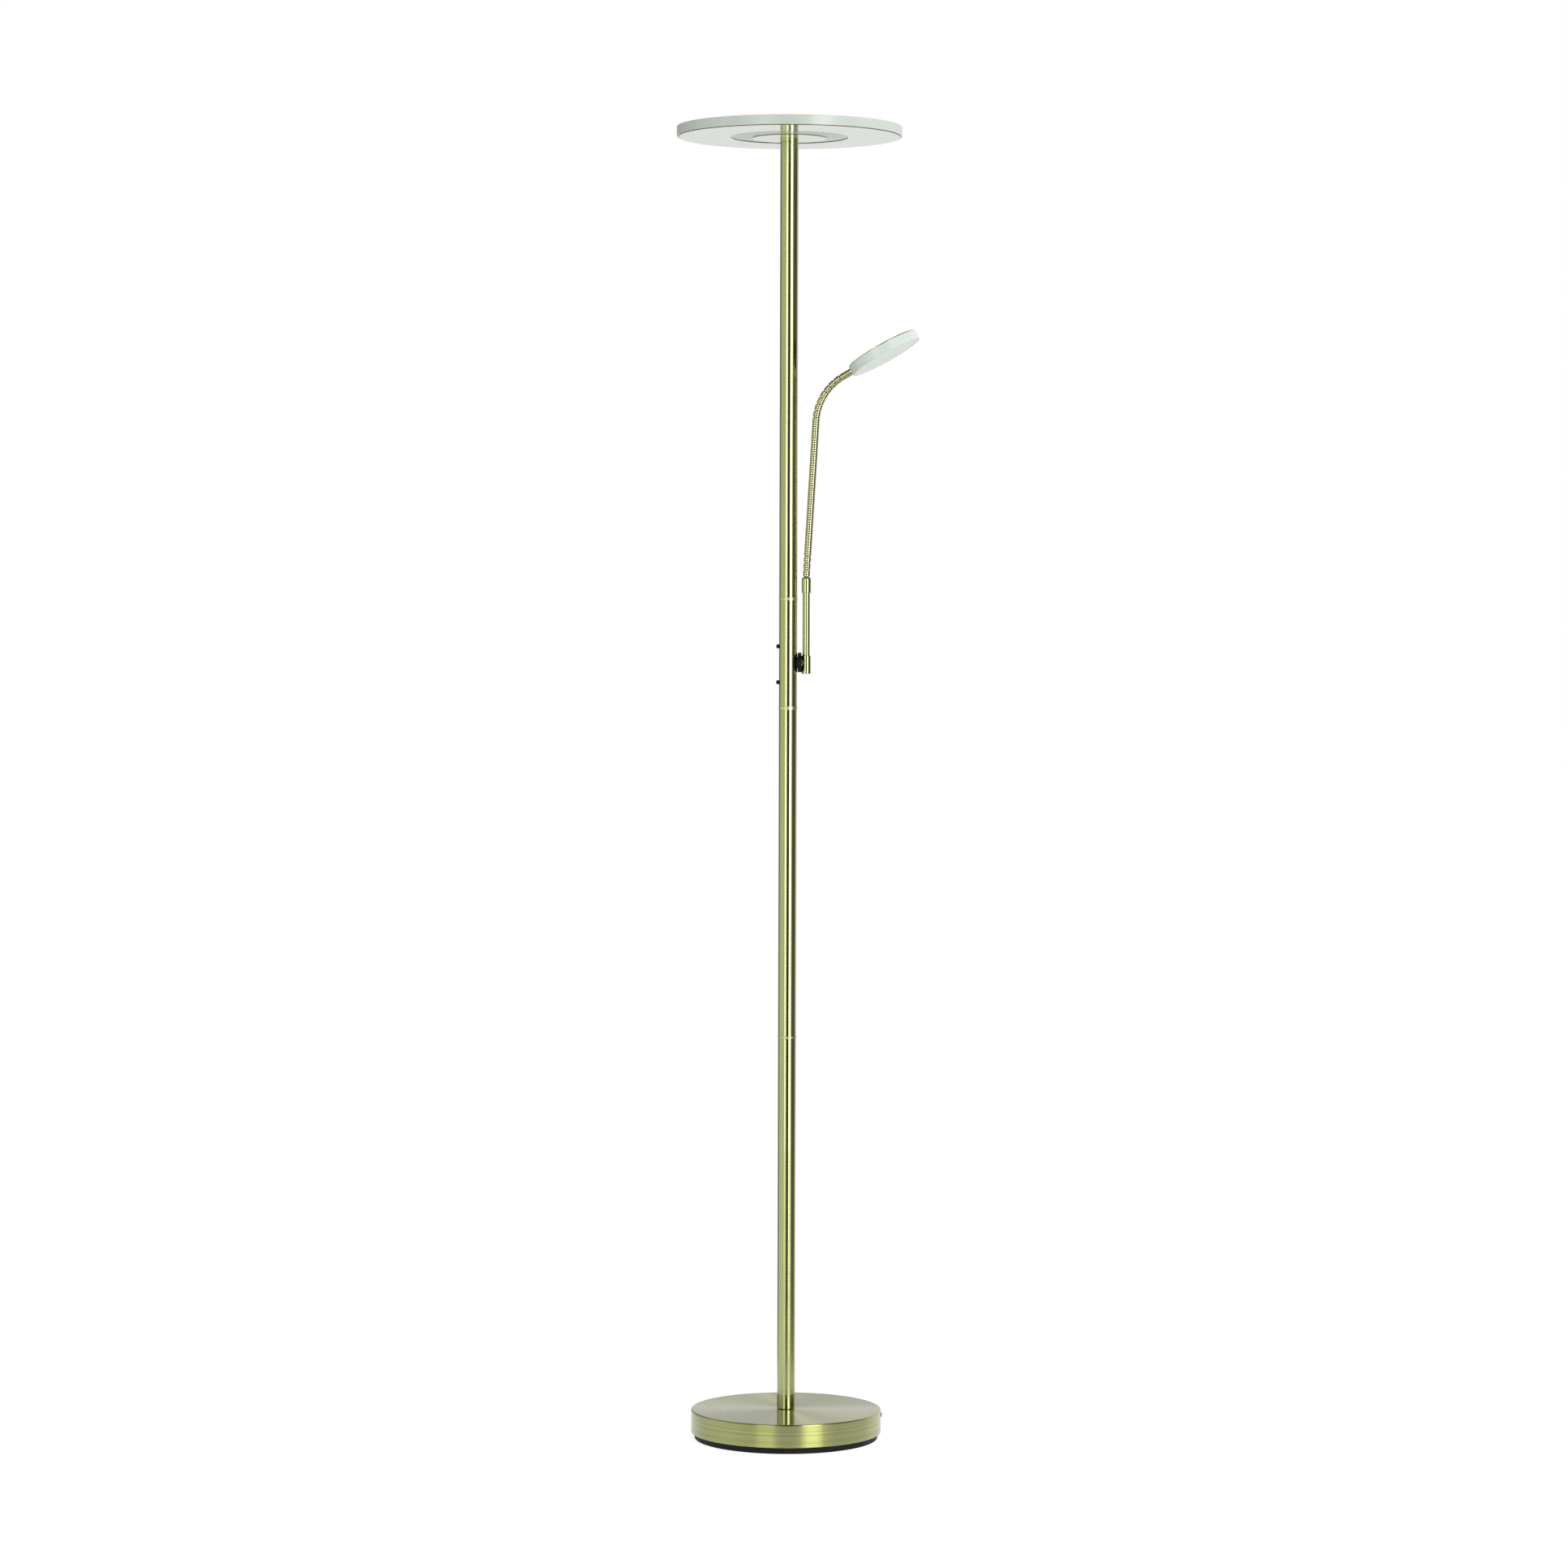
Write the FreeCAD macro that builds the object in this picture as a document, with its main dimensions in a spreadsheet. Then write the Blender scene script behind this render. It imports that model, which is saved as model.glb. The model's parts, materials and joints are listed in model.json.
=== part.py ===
# Floor lamp with an upward disc head and a reading light on a flexible neck.
# Millimetres, +Z up. The origin is under the middle of the foot, on the pole axis.
# +X points to the reading light and -Y to the viewer.

import FreeCAD, Part
import math
import os
import re
import Sketcher
from FreeCAD import Placement, Rotation, Vector

os.makedirs("parts", exist_ok=True)
doc = FreeCAD.newDocument("FloorLamp")

sizes = {
    # overall
    "lamp_height": 1800,
    "base_diameter": 262,
    "base_height": 40.5,
    "pole_diameter": 25,
    "head_diameter": 308,
    "head_thickness": 14,
    # base: a drawn cover over a cast weight that stands in a moulded tray
    "cover_wall": 1.2,
    "cover_round": 2,
    "cover_fit": 0.3,
    "foot_height": 9,
    "foot_inset": 4,
    "foot_taper": 1,
    "foot_floor": 3,
    "foot_wall": 2.5,
    "foot_lip": 3,
    "weight_thickness": 16,
    "weight_draft": 1.5,
    "weight_boss_diameter": 40,
    "weight_boss_draft": 4,
    "nut_recess_diameter": 30,
    "nut_recess_depth": 9,
    "lead_channel_width": 8,
    "lead_channel_depth": 6,
    "lead_channel_reach": 45,
    "driver_length": 110,
    "driver_width": 42,
    "driver_thickness": 17,
    "driver_round": 3,
    "driver_offset": 62,
    "bush_height": 32,
    "bush_diameter": 6.6,
    "bush_neck_diameter": 5.8,
    "bush_collar_diameter": 7.6,
    "bush_collar_length": 2,
    "bush_proud": 1,
    "bush_bore": 4.6,
    "bush_fit": 0.1,
    # threaded nipples, their nuts and washers
    "nipple_diameter": 10,
    "nipple_bore": 7,
    "thread_fit": 0.05,
    "bolt_fit": 0.15,
    "nut_width": 17,
    "nut_thickness": 6,
    "washer_diameter": 22,
    "washer_thickness": 1.5,
    # pole: four tubes joined by couplers, each with a bright ring
    "pole_wall": 1.2,
    "stub_fit": 0.05,
    "stub_wall": 2.5,
    "stub_length": 24,
    "plug_length": 26,
    "ring_proud": 0.25,
    "lower_joint_height": 552.3,
    "lower_ring_width": 3.5,
    "middle_joint_height": 1004,
    "middle_ring_width": 5,
    "upper_joint_height": 1154,
    "upper_ring_width": 4,
    "cable_diameter": 6,
    # push buttons and the board behind them
    "upper_button_height": 1091,
    "lower_button_height": 1041.8,
    "button_diameter": 5.6,
    "button_proud": 3.7,
    "button_round": 0.9,
    "button_travel": 0.8,
    "button_flange_diameter": 7.2,
    "button_flange_thickness": 0.8,
    "button_fit": 0.12,
    "button_stem_diameter": 3,
    "board_thickness": 1.6,
    "board_offset": 3.6,
    "board_margin": 7,
    "switch_width": 6,
    "switch_stop_gap": 0.2,
    "switch_stem_depth": 1.6,
    # tilting pivot of the reading arm
    "pivot_height": 1068.5,
    "pivot_disc_diameter": 26,
    "saddle_thickness": 4,
    "saddle_stand_off": 0.4,
    "saddle_boss_diameter": 16,
    "disc_bevel": 0.6,
    "rotor_thickness": 1.9,
    "horn_width": 3.2,
    "horn_rise": 1.3,
    "stud_diameter": 8,
    "stud_bore": 4,
    "stud_fit": 0.06,
    "stud_gap": 0.2,
    "friction_pad_diameter": 14,
    "friction_pad_depth": 2.75,
    "spring_washer_thickness": 0.8,
    "jam_nut_width": 13,
    "jam_nut_thickness": 4,
    # socket, arm tube and ferrule
    "socket_diameter": 12.8,
    "socket_length": 25.3,
    "socket_drop": 15.2,
    "socket_floor": 6,
    "socket_boss_diameter": 11,
    "socket_chamfer": 0.6,
    "grub_diameter": 4,
    "grub_drop": 6,
    "arm_tube_diameter": 10,
    "arm_tube_wall": 1,
    "arm_tube_fit": 0.05,
    "ferrule_rise": 95.5,
    "ferrule_diameter": 12.8,
    "ferrule_length": 22,
    "ferrule_seat": 11,
    "ferrule_chamfer": 0.8,
    # ribbed neck: rigid links that hinge on each other
    "neck_diameter": 10,
    "neck_bore": 5,
    "neck_joint_diameter": 6.8,
    "neck_groove": 0.8,
    "rib_pitch": 3.1,
    "link_gap": 0.8,
    "neck_lean": 3.4,
    "neck_turn": 9,
    "neck_straight": 213.4,
    "bend_radius": 75,
    "bend_angle": 57.1,
    "bend_hinges": 8,
    "root_hinges": 4,
    "tip_length": 12.6,
    "tip_stub_diameter": 6,
    "tip_stub_length": 6.5,
    # reading head
    "reading_diameter": 103,
    "reading_thickness": 14,
    "reading_wall": 1.5,
    "reading_back_thickness": 1.2,
    "reading_back_inset": 0.3,
    "reading_lens_thickness": 2,
    "reading_lens_inset": 0.4,
    "reading_lens_fit": 0.2,
    "reading_board_diameter": 86,
    "reading_led_circle": 60,
    "reading_led_count": 12,
    "ring_nut_diameter": 8.4,
    "ring_nut_thickness": 3,
    # main head
    "rim_wall": 2,
    "rim_ledge": 2.5,
    "rim_ledge_thickness": 1.5,
    "rim_bevel": 0.5,
    "pan_thickness": 1.2,
    "pan_seam": 0.6,
    "dish_outer_diameter": 160,
    "dish_inner_diameter": 102,
    "dish_drop": 1.8,
    "dish_step": 0.7,
    "hub_diameter": 96,
    "heat_plate_thickness": 2,
    "heat_plate_fit": 0.3,
    "led_board_gap": 12,
    "led_board_margin": 9.5,
    "led_board_thickness": 1.6,
    "led_count": 24,
    "led_width": 3,
    "led_thickness": 0.8,
    "lens_thickness": 3,
    "lens_inset": 0.5,
    "lens_fit": 0.3,
}

sheet = doc.addObject("Spreadsheet::Sheet", "Sizes")
for row, (name, value) in enumerate(sizes.items(), start=1):
    sheet.set(f"A{row}", name)
    sheet.set(f"B{row}", str(value))
    sheet.setAlias(f"B{row}", name)
doc.recompute()

along_x = Rotation(Vector(0, 1, 0), 90)
along_minus_x = Rotation(Vector(0, 1, 0), -90)
upright = Rotation()
pieces = []


def size(name):
    return float(sheet.get(name))


# A formula names sheet cells by their aliases; this adds the sheet's name to each.
def linked(formula):
    return re.sub(r"\b([a-z][a-z_]+)\b(?!\()", r"Sizes.\1", formula)


def bind(thing, **formulas):
    for path, formula in formulas.items():
        thing.setExpression(path.replace("__", "."), linked(formula))


# Sets a sub-part's turn and place; the place is three formulas.
def settle(thing, at=("0", "0", "0"), turned_to=upright):
    thing.Placement = Placement(Vector(), turned_to)
    for axis, formula in zip("xyz", at):
        thing.setExpression(f"Placement.Base.{axis}", linked(formula))
    pieces.append(thing)
    return thing


def new_body(label):
    body = doc.addObject("PartDesign::Body", label)
    body.Label = label
    return body


def sketch_on(body, plane_role, name):
    sketch = body.newObject("Sketcher::SketchObject", name)
    planes = [feature for feature in body.Origin.OriginFeatures if feature.Role == plane_role]
    sketch.AttachmentSupport = [(planes[0], "")]
    sketch.MapMode = "FlatFace"
    return sketch


def fix_point(sketch, geometry, point, across, up):
    for kind, formula in (("DistanceX", across), ("DistanceY", up)):
        number = sketch.addConstraint(Sketcher.Constraint(kind, -1, 1, geometry, point, 1.0))
        sketch.setExpression(f"Constraints[{number}]", linked(formula))


# Draws a closed outline through corners, each given by two formulas.
def draw_outline(sketch, corners):
    count = len(corners)
    spots = []
    for number in range(count):
        angle = 2 * math.pi * number / count
        spots.append(Vector(20 + 10 * math.cos(angle), 20 + 10 * math.sin(angle), 0))
    lines = [Part.LineSegment(spots[i], spots[(i + 1) % count]) for i in range(count)]
    sketch.addGeometry(lines, False)
    for number, (across, up) in enumerate(corners):
        sketch.addConstraint(Sketcher.Constraint("Coincident", number - 1 if number else count - 1, 2, number, 1))
        fix_point(sketch, number, 1, across, up)


def draw_circle(sketch, diameter, across="0", up="0"):
    circle = sketch.addGeometry(Part.Circle(Vector(1, 1, 0), Vector(0, 0, 1), 1), False)
    fix_point(sketch, circle, 3, across, up)
    number = sketch.addConstraint(Sketcher.Constraint("Diameter", circle, 1.0))
    sketch.setExpression(f"Constraints[{number}]", linked(diameter))


def draw_rectangle(sketch, left, bottom, right, top):
    draw_outline(sketch, [(left, bottom), (right, bottom), (right, top), (left, top)])


# Turns an outline of radii and heights about the body's Z axis.
def turned(label, corners):
    body = new_body(label)
    profile = sketch_on(body, "XZ_Plane", f"{label}_profile")
    draw_outline(profile, corners)
    turning = body.newObject("PartDesign::Revolution", f"{label}_turning")
    turning.Profile = profile
    turning.ReferenceAxis = (profile, ["V_Axis"])
    turning.Angle = 360
    doc.recompute()
    return body


def pad(body, sketch, length, start="0"):
    sketch.setExpression("AttachmentOffset.Base.z", linked(start))
    feature = body.newObject("PartDesign::Pad", f"{sketch.Name}_pad")
    feature.Profile = sketch
    bind(feature, Length=length)
    doc.recompute()
    return feature


# Cuts a sketch into a body, along the sketch's normal when forward; both ways when through.
def cut(body, sketch, length="1", forward=True, through=False, start="0"):
    sketch.setExpression("AttachmentOffset.Base.z", linked(start))
    before = body.Shape.Volume
    feature = body.newObject("PartDesign::Pocket", f"{sketch.Name}_pocket")
    feature.Profile = sketch
    feature.Reversed = forward
    if through:
        feature.Type = "ThroughAll"
        feature.Midplane = True
    else:
        bind(feature, Length=length)
    doc.recompute()
    if body.Shape.Volume > before - 0.001:
        raise RuntimeError(f"{sketch.Name} cuts nothing")
    return feature


def is_circle(edge, diameter):
    return isinstance(edge.Curve, Part.Circle) and abs(2 * edge.Curve.Radius - diameter) < 0.01


# Rounds or bevels the edges of the body's tip that pass a test.
def soften(body, kind, formula, wanted):
    base = body.Tip
    names = [f"Edge{i}" for i, edge in enumerate(base.Shape.Edges, start=1) if wanted(edge)]
    if not names:
        raise RuntimeError(f"{body.Label} has no edge to soften")
    feature = body.newObject(f"PartDesign::{kind}", f"{body.Label}_{kind.lower()}")
    feature.Base = (base, names)
    bind(feature, **{"Radius" if kind == "Fillet" else "Size": formula})
    doc.recompute()
    return feature


def tube(label, outer, inner, length):
    corners = [
        (f"({inner})/2", "0"),
        (f"({outer})/2", "0"),
        (f"({outer})/2", length),
        (f"({inner})/2", length),
    ]
    return turned(label, corners)


def hex_nut(label, width, height, bore):
    prism = doc.addObject("Part::Prism", f"{label}_hexagon")
    prism.Polygon = 6
    bind(prism, Circumradius=f"({width})/sqrt(3)", Height=height)
    hole = doc.addObject("Part::Cylinder", f"{label}_bore")
    bind(hole, Radius=f"({bore})/2", Height=height)
    nut = doc.addObject("Part::Cut", label)
    nut.Base = prism
    nut.Tool = hole
    return nut


# Base ---------------------------------------------------------------------------------

weight_radius = "(base_diameter/2 - foot_inset - foot_wall - cover_fit)"
lip_radius = "(base_diameter/2 - cover_wall - cover_fit)"
weight_top = "(foot_floor + weight_thickness)"
recess_top = "(foot_floor + nut_recess_depth)"
cover_underside = "(base_height - cover_wall)"
clear_of_nipple = "(nipple_diameter/2 + bolt_fit)"

foot_pad = turned("foot_pad", [
    ("0", "0"),
    ("base_diameter/2 - foot_inset - foot_taper", "0"),
    ("base_diameter/2 - foot_inset", "foot_height"),
    (lip_radius, "foot_height"),
    (lip_radius, "foot_height + foot_lip"),
    (f"{weight_radius} + cover_fit", "foot_height + foot_lip"),
    (f"{weight_radius} + cover_fit", "foot_floor"),
    ("0", "foot_floor"),
])
settle(foot_pad)

base_weight = turned("base_weight", [
    (clear_of_nipple, recess_top),
    ("nut_recess_diameter/2", recess_top),
    ("nut_recess_diameter/2", "foot_floor"),
    (weight_radius, "foot_floor"),
    (f"{weight_radius} - weight_draft", weight_top),
    ("weight_boss_diameter/2 + weight_boss_draft", weight_top),
    ("weight_boss_diameter/2", cover_underside),
    (clear_of_nipple, cover_underside),
])
channel = sketch_on(base_weight, "XY_Plane", "lead_channel")
draw_rectangle(channel, "-lead_channel_width/2", "0", "lead_channel_width/2", "lead_channel_reach")
cut(base_weight, channel, "foot_floor + lead_channel_depth")
rise = sketch_on(base_weight, "XY_Plane", "lead_rise")
draw_circle(rise, "lead_channel_width", "0", "lead_channel_reach")
cut(base_weight, rise, "base_height")
settle(base_weight)

base_cover = turned("base_cover", [
    (clear_of_nipple, "base_height"),
    ("base_diameter/2", "base_height"),
    ("base_diameter/2", "foot_height"),
    ("base_diameter/2 - cover_wall", "foot_height"),
    ("base_diameter/2 - cover_wall", cover_underside),
    (clear_of_nipple, cover_underside),
])
soften(base_cover, "Fillet", "cover_round", lambda edge: (
    is_circle(edge, size("base_diameter")) and edge.BoundBox.ZMin > size("base_height") - 0.01
))
bush_hole = sketch_on(base_cover, "YZ_Plane", "bush_hole")
draw_circle(bush_hole, "bush_neck_diameter + 2*bush_fit", "0", "bush_height")
cut(base_cover, bush_hole, "base_diameter")
settle(base_cover)

inside_wall = "(-cover_wall - bush_fit)"
cord_bush = turned("cord_bush", [
    ("bush_bore/2", "bush_proud"),
    ("bush_diameter/2", "bush_proud"),
    ("bush_diameter/2", "0"),
    ("bush_neck_diameter/2", "0"),
    ("bush_neck_diameter/2", inside_wall),
    ("bush_collar_diameter/2", inside_wall),
    ("bush_neck_diameter/2", f"{inside_wall} - bush_collar_length"),
    ("bush_bore/2", f"{inside_wall} - bush_collar_length"),
])
settle(cord_bush, ("base_diameter/2", "0", "bush_height"), along_x)

driver_box = new_body("driver_box")
driver_plan = sketch_on(driver_box, "XY_Plane", "driver_plan")
draw_rectangle(driver_plan, "-driver_length/2", "-driver_width/2", "driver_length/2", "driver_width/2")
pad(driver_box, driver_plan, "driver_thickness")
soften(driver_box, "Fillet", "driver_round", lambda edge: edge.BoundBox.ZLength > size("driver_thickness") - 0.01)
settle(driver_box, ("0", "driver_offset", weight_top))

nipple_bottom = "(foot_floor + 1)"
pole_nipple = tube(
    "pole_nipple", "nipple_diameter", "nipple_bore", f"base_height + plug_length - 4 - {nipple_bottom}"
)
settle(pole_nipple, ("0", "0", nipple_bottom))
nipple_washer = tube(
    "nipple_washer", "washer_diameter", "nipple_diameter + 2*bolt_fit", "washer_thickness"
)
settle(nipple_washer, ("0", "0", f"{recess_top} - washer_thickness"))
nipple_nut = hex_nut(
    "nipple_nut", "nut_width", "nut_thickness", "nipple_diameter + 2*thread_fit"
)
settle(nipple_nut, ("0", "0", f"{recess_top} - washer_thickness - nut_thickness"))

# Pole ---------------------------------------------------------------------------------

pole_bore = "(pole_diameter - 2*pole_wall)"
stub_diameter = "(pole_diameter - 2*pole_wall - 2*stub_fit)"
lower_ring_top = "(lower_joint_height + lower_ring_width)"
middle_ring_top = "(middle_joint_height + middle_ring_width)"
upper_ring_top = "(upper_joint_height + upper_ring_width)"
pole_top = "(lamp_height - head_thickness - dish_drop)"

runs = {
    "pole_lower": ("base_height", "lower_joint_height"),
    "pole_middle": (lower_ring_top, "middle_joint_height"),
    "control_tube": (middle_ring_top, "upper_joint_height"),
    "pole_upper": (upper_ring_top, pole_top),
}
tubes = {}
for label, (bottom, top) in runs.items():
    tubes[label] = tube(label, "pole_diameter", pole_bore, f"{top} - {bottom}")

control_tube = tubes["control_tube"]
for side in ("upper", "lower"):
    opening = sketch_on(control_tube, "YZ_Plane", f"{side}_button_hole")
    draw_circle(
        opening, "button_diameter + 2*button_fit", "0", f"{side}_button_height - {middle_ring_top}"
    )
    cut(control_tube, opening, "pole_diameter", forward=False)
stud_opening = sketch_on(control_tube, "YZ_Plane", "stud_opening")
draw_circle(stud_opening, "stud_diameter + 2*stud_fit", "0", f"pivot_height - {middle_ring_top}")
cut(control_tube, stud_opening, "pole_diameter")

for label, (bottom, top) in runs.items():
    settle(tubes[label], ("0", "0", bottom))


# A coupler is two stubs, one in each tube, with a bright ring between the tube ends.
def coupler(label, joint_height, ring_width):
    ring = "(pole_diameter/2 + ring_proud)"
    body = turned(label, [
        (f"{stub_diameter}/2 - stub_wall", "-stub_length"),
        (f"{stub_diameter}/2", "-stub_length"),
        (f"{stub_diameter}/2", "0"),
        ("pole_diameter/2", "0"),
        (ring, "ring_proud"),
        (ring, f"{ring_width} - ring_proud"),
        ("pole_diameter/2", ring_width),
        (f"{stub_diameter}/2", ring_width),
        (f"{stub_diameter}/2", f"{ring_width} + stub_length"),
        (f"{stub_diameter}/2 - stub_wall", f"{ring_width} + stub_length"),
    ])
    settle(body, ("0", "0", joint_height))


coupler("coupler_lower", "lower_joint_height", "lower_ring_width")
coupler("coupler_middle", "middle_joint_height", "middle_ring_width")
coupler("coupler_upper", "upper_joint_height", "upper_ring_width")

for label, height in (
    ("pole_foot_plug", "base_height"),
    ("pole_head_plug", f"{pole_top} - plug_length"),
):
    plug = tube(label, stub_diameter, "nipple_diameter + 2*thread_fit", "plug_length")
    settle(plug, ("0", "0", height))

# Buttons, their switches and the board they sit on ---------------------------------------

board_face = "(board_offset + board_thickness)"
board_half_width = f"(sqrt(({stub_diameter}/2)^2 - {board_face}^2))"
dimmer_board = doc.addObject("Part::Box", "dimmer_board")
bind(
    dimmer_board,
    Length="board_thickness",
    Width=f"2*{board_half_width}",
    Height="upper_button_height - lower_button_height + 2*board_margin",
)
settle(dimmer_board, (f"-{board_face}", f"-{board_half_width}", "lower_button_height - board_margin"))

# The flange is inside the tube, where its round edge just clears the curved wall.
flange_outside = f"(sqrt(({pole_bore}/2)^2 - (button_flange_diameter/2)^2) - 2*button_fit)"
flange_inside = f"({flange_outside} - button_flange_thickness)"
switch_top = f"({flange_inside} - button_travel - switch_stop_gap)"
stem_end = f"({switch_top} - switch_stem_depth/2)"

for side in ("upper", "lower"):
    block = doc.addObject("Part::Box", f"switch_{side}_block")
    bind(block, Length=f"{switch_top} - {board_face}", Width="switch_width", Height="switch_width")
    bind(block, Placement__Base__y="-switch_width/2", Placement__Base__z="-switch_width/2")
    well = doc.addObject("Part::Cylinder", f"switch_{side}_well")
    well.Placement.Rotation = along_x
    bind(well, Radius="button_stem_diameter/2 + button_fit", Height="switch_stem_depth + button_travel")
    switch = doc.addObject("Part::Cut", f"switch_{side}")
    switch.Base = block
    switch.Tool = well
    settle(switch, (f"-{switch_top}", "0", f"{side}_button_height"))

    button = turned(f"button_{side}", [
        ("0", stem_end),
        ("button_stem_diameter/2", stem_end),
        ("button_stem_diameter/2", flange_inside),
        ("button_flange_diameter/2", flange_inside),
        ("button_flange_diameter/2", flange_outside),
        ("button_diameter/2", flange_outside),
        ("button_diameter/2", "pole_diameter/2 + button_proud"),
        ("0", "pole_diameter/2 + button_proud"),
    ])
    outer_face = size("pole_diameter") / 2 + size("button_proud")
    soften(button, "Fillet", "button_round", lambda edge: (
        is_circle(edge, size("button_diameter")) and edge.BoundBox.ZMin > outer_face - 0.01
    ))
    settle(button, ("0", "0", f"{side}_button_height"), along_minus_x)

# Pivot of the reading arm: a fixed saddle, and a disc that turns against it ---------------

seam = "(pole_diameter/2 + saddle_thickness)"
rotor_face = f"({seam} + rotor_thickness)"
arm_offset = f"({rotor_face} + socket_diameter/2)"
stud_clear = "(stud_diameter + 2*stud_fit)"


def draw_horn(body, name):
    horn = sketch_on(body, "YZ_Plane", name)
    draw_rectangle(
        horn, "-horn_width/2", "stud_diameter/2 + 2", "horn_width/2", "pivot_disc_diameter/2 + horn_rise"
    )
    return horn


pivot_saddle = new_body("pivot_saddle")
boss = sketch_on(pivot_saddle, "YZ_Plane", "saddle_boss")
draw_circle(boss, "saddle_boss_diameter")
pad(pivot_saddle, boss, "pole_diameter/2 + saddle_stand_off + 1")
disc = sketch_on(pivot_saddle, "YZ_Plane", "saddle_disc")
draw_circle(disc, "pivot_disc_diameter")
pad(pivot_saddle, disc, "saddle_thickness - saddle_stand_off", "pole_diameter/2 + saddle_stand_off")
soften(pivot_saddle, "Chamfer", "disc_bevel", lambda edge: (
    is_circle(edge, size("pivot_disc_diameter"))
    and edge.BoundBox.XMax < size("pole_diameter") / 2 + size("saddle_stand_off") + 0.01
))
horn = draw_horn(pivot_saddle, "saddle_horn")
pad(pivot_saddle, horn, "saddle_thickness - saddle_stand_off - 1.2", "pole_diameter/2 + saddle_stand_off + 1.2")
seat = sketch_on(pivot_saddle, "XY_Plane", "saddle_seat")
draw_circle(seat, "pole_diameter")
cut(pivot_saddle, seat, through=True)
stud_way = sketch_on(pivot_saddle, "YZ_Plane", "saddle_bore")
draw_circle(stud_way, stud_clear)
cut(pivot_saddle, stud_way, "pole_diameter")
settle(pivot_saddle, ("0", "0", "pivot_height"))

pivot_rotor = new_body("pivot_rotor")
disc = sketch_on(pivot_rotor, "YZ_Plane", "rotor_disc")
draw_circle(disc, "pivot_disc_diameter")
pad(pivot_rotor, disc, "rotor_thickness", seam)
rotor_edge = size("pole_diameter") / 2 + size("saddle_thickness") + size("rotor_thickness")
soften(pivot_rotor, "Chamfer", "disc_bevel", lambda edge: (
    is_circle(edge, size("pivot_disc_diameter")) and edge.BoundBox.XMin > rotor_edge - 0.01
))
horn = draw_horn(pivot_rotor, "rotor_horn")
pad(pivot_rotor, horn, "rotor_thickness - 0.3", f"{seam} + 0.3")
stud_way = sketch_on(pivot_rotor, "YZ_Plane", "rotor_bore")
draw_circle(stud_way, stud_clear)
cut(pivot_rotor, stud_way, "pole_diameter")
settle(pivot_rotor, ("0", "0", "pivot_height"))

# Inside the tube a curved pad, a spring washer and a jam nut hold the stud.
pad_face = f"({stub_diameter}/2 - friction_pad_depth)"
pad_disc = doc.addObject("Part::Cylinder", "friction_pad_disc")
pad_disc.Placement.Rotation = along_x
bind(
    pad_disc,
    Radius="friction_pad_diameter/2",
    Height=f"{pole_bore}/2",
    Placement__Base__x=pad_face,
)
pole_core = doc.addObject("Part::Cylinder", "friction_pad_curve")
bind(
    pole_core,
    Radius=f"{stub_diameter}/2",
    Height="2*friction_pad_diameter",
    Placement__Base__z="-friction_pad_diameter",
)
pad_blank = doc.addObject("Part::Common", "friction_pad_blank")
pad_blank.Base = pad_disc
pad_blank.Tool = pole_core
pad_bore = doc.addObject("Part::Cylinder", "friction_pad_bore")
pad_bore.Placement.Rotation = along_x
bind(pad_bore, Radius=f"{stud_clear}/2", Height="pole_diameter")
friction_pad = doc.addObject("Part::Cut", "friction_pad")
friction_pad.Base = pad_blank
friction_pad.Tool = pad_bore
settle(friction_pad, ("0", "0", "pivot_height"))

spring_washer = tube(
    "spring_washer", "friction_pad_diameter", stud_clear, "spring_washer_thickness"
)
settle(spring_washer, (f"{pad_face} - spring_washer_thickness", "0", "pivot_height"), along_x)
nut_place = f"({pad_face} - spring_washer_thickness - jam_nut_thickness)"
jam_nut = hex_nut("jam_nut", "jam_nut_width", "jam_nut_thickness", "stud_diameter + 2*thread_fit")
settle(jam_nut, (nut_place, "0", "pivot_height"), along_x)
stud_end = f"({arm_offset} - arm_tube_diameter/2 - stud_gap)"
pivot_stud = tube("pivot_stud", "stud_diameter", "stud_bore", f"{stud_end} - {nut_place}")
settle(pivot_stud, (nut_place, "0", "pivot_height"), along_x)

# Socket, arm tube and ferrule ---------------------------------------------------------

tube_clear = "(arm_tube_diameter + 2*arm_tube_fit)"
arm_socket = new_body("arm_socket")
barrel = sketch_on(arm_socket, "XY_Plane", "socket_barrel")
draw_circle(barrel, "socket_diameter")
pad(arm_socket, barrel, "socket_length", "-socket_drop")
soften(arm_socket, "Chamfer", "socket_chamfer", lambda edge: is_circle(edge, size("socket_diameter")))
boss = sketch_on(arm_socket, "YZ_Plane", "socket_boss")
draw_circle(boss, "socket_boss_diameter")
pad(arm_socket, boss, "socket_diameter/2", "-socket_diameter/2")
tube_way = sketch_on(arm_socket, "XY_Plane", "socket_tube_bore")
draw_circle(tube_way, tube_clear)
cut(arm_socket, tube_way, "socket_length", start="socket_floor - socket_drop")
stud_way = sketch_on(arm_socket, "YZ_Plane", "socket_stud_seat")
draw_circle(stud_way, "stud_diameter + 2*thread_fit")
cut(arm_socket, stud_way, "socket_diameter", forward=False)
grub_way = sketch_on(arm_socket, "XZ_Plane", "grub_hole")
draw_circle(grub_way, "grub_diameter", "0", "-grub_drop")
cut(arm_socket, grub_way, "socket_diameter", forward=False)
settle(arm_socket, (arm_offset, "0", "pivot_height"))

grub_screw = turned("grub_screw", [
    ("0", f"{tube_clear}/2"),
    ("grub_diameter/2 - thread_fit", f"{tube_clear}/2"),
    ("grub_diameter/2 - thread_fit", "socket_diameter/2 - 0.2"),
    ("grub_diameter/5", "socket_diameter/2 - 0.2"),
    ("grub_diameter/5", f"{tube_clear}/2 + 0.4"),
    ("0", f"{tube_clear}/2 + 0.4"),
])
settle(grub_screw, (arm_offset, "0", "pivot_height - grub_drop"), Rotation(Vector(1, 0, 0), -90))

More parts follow.
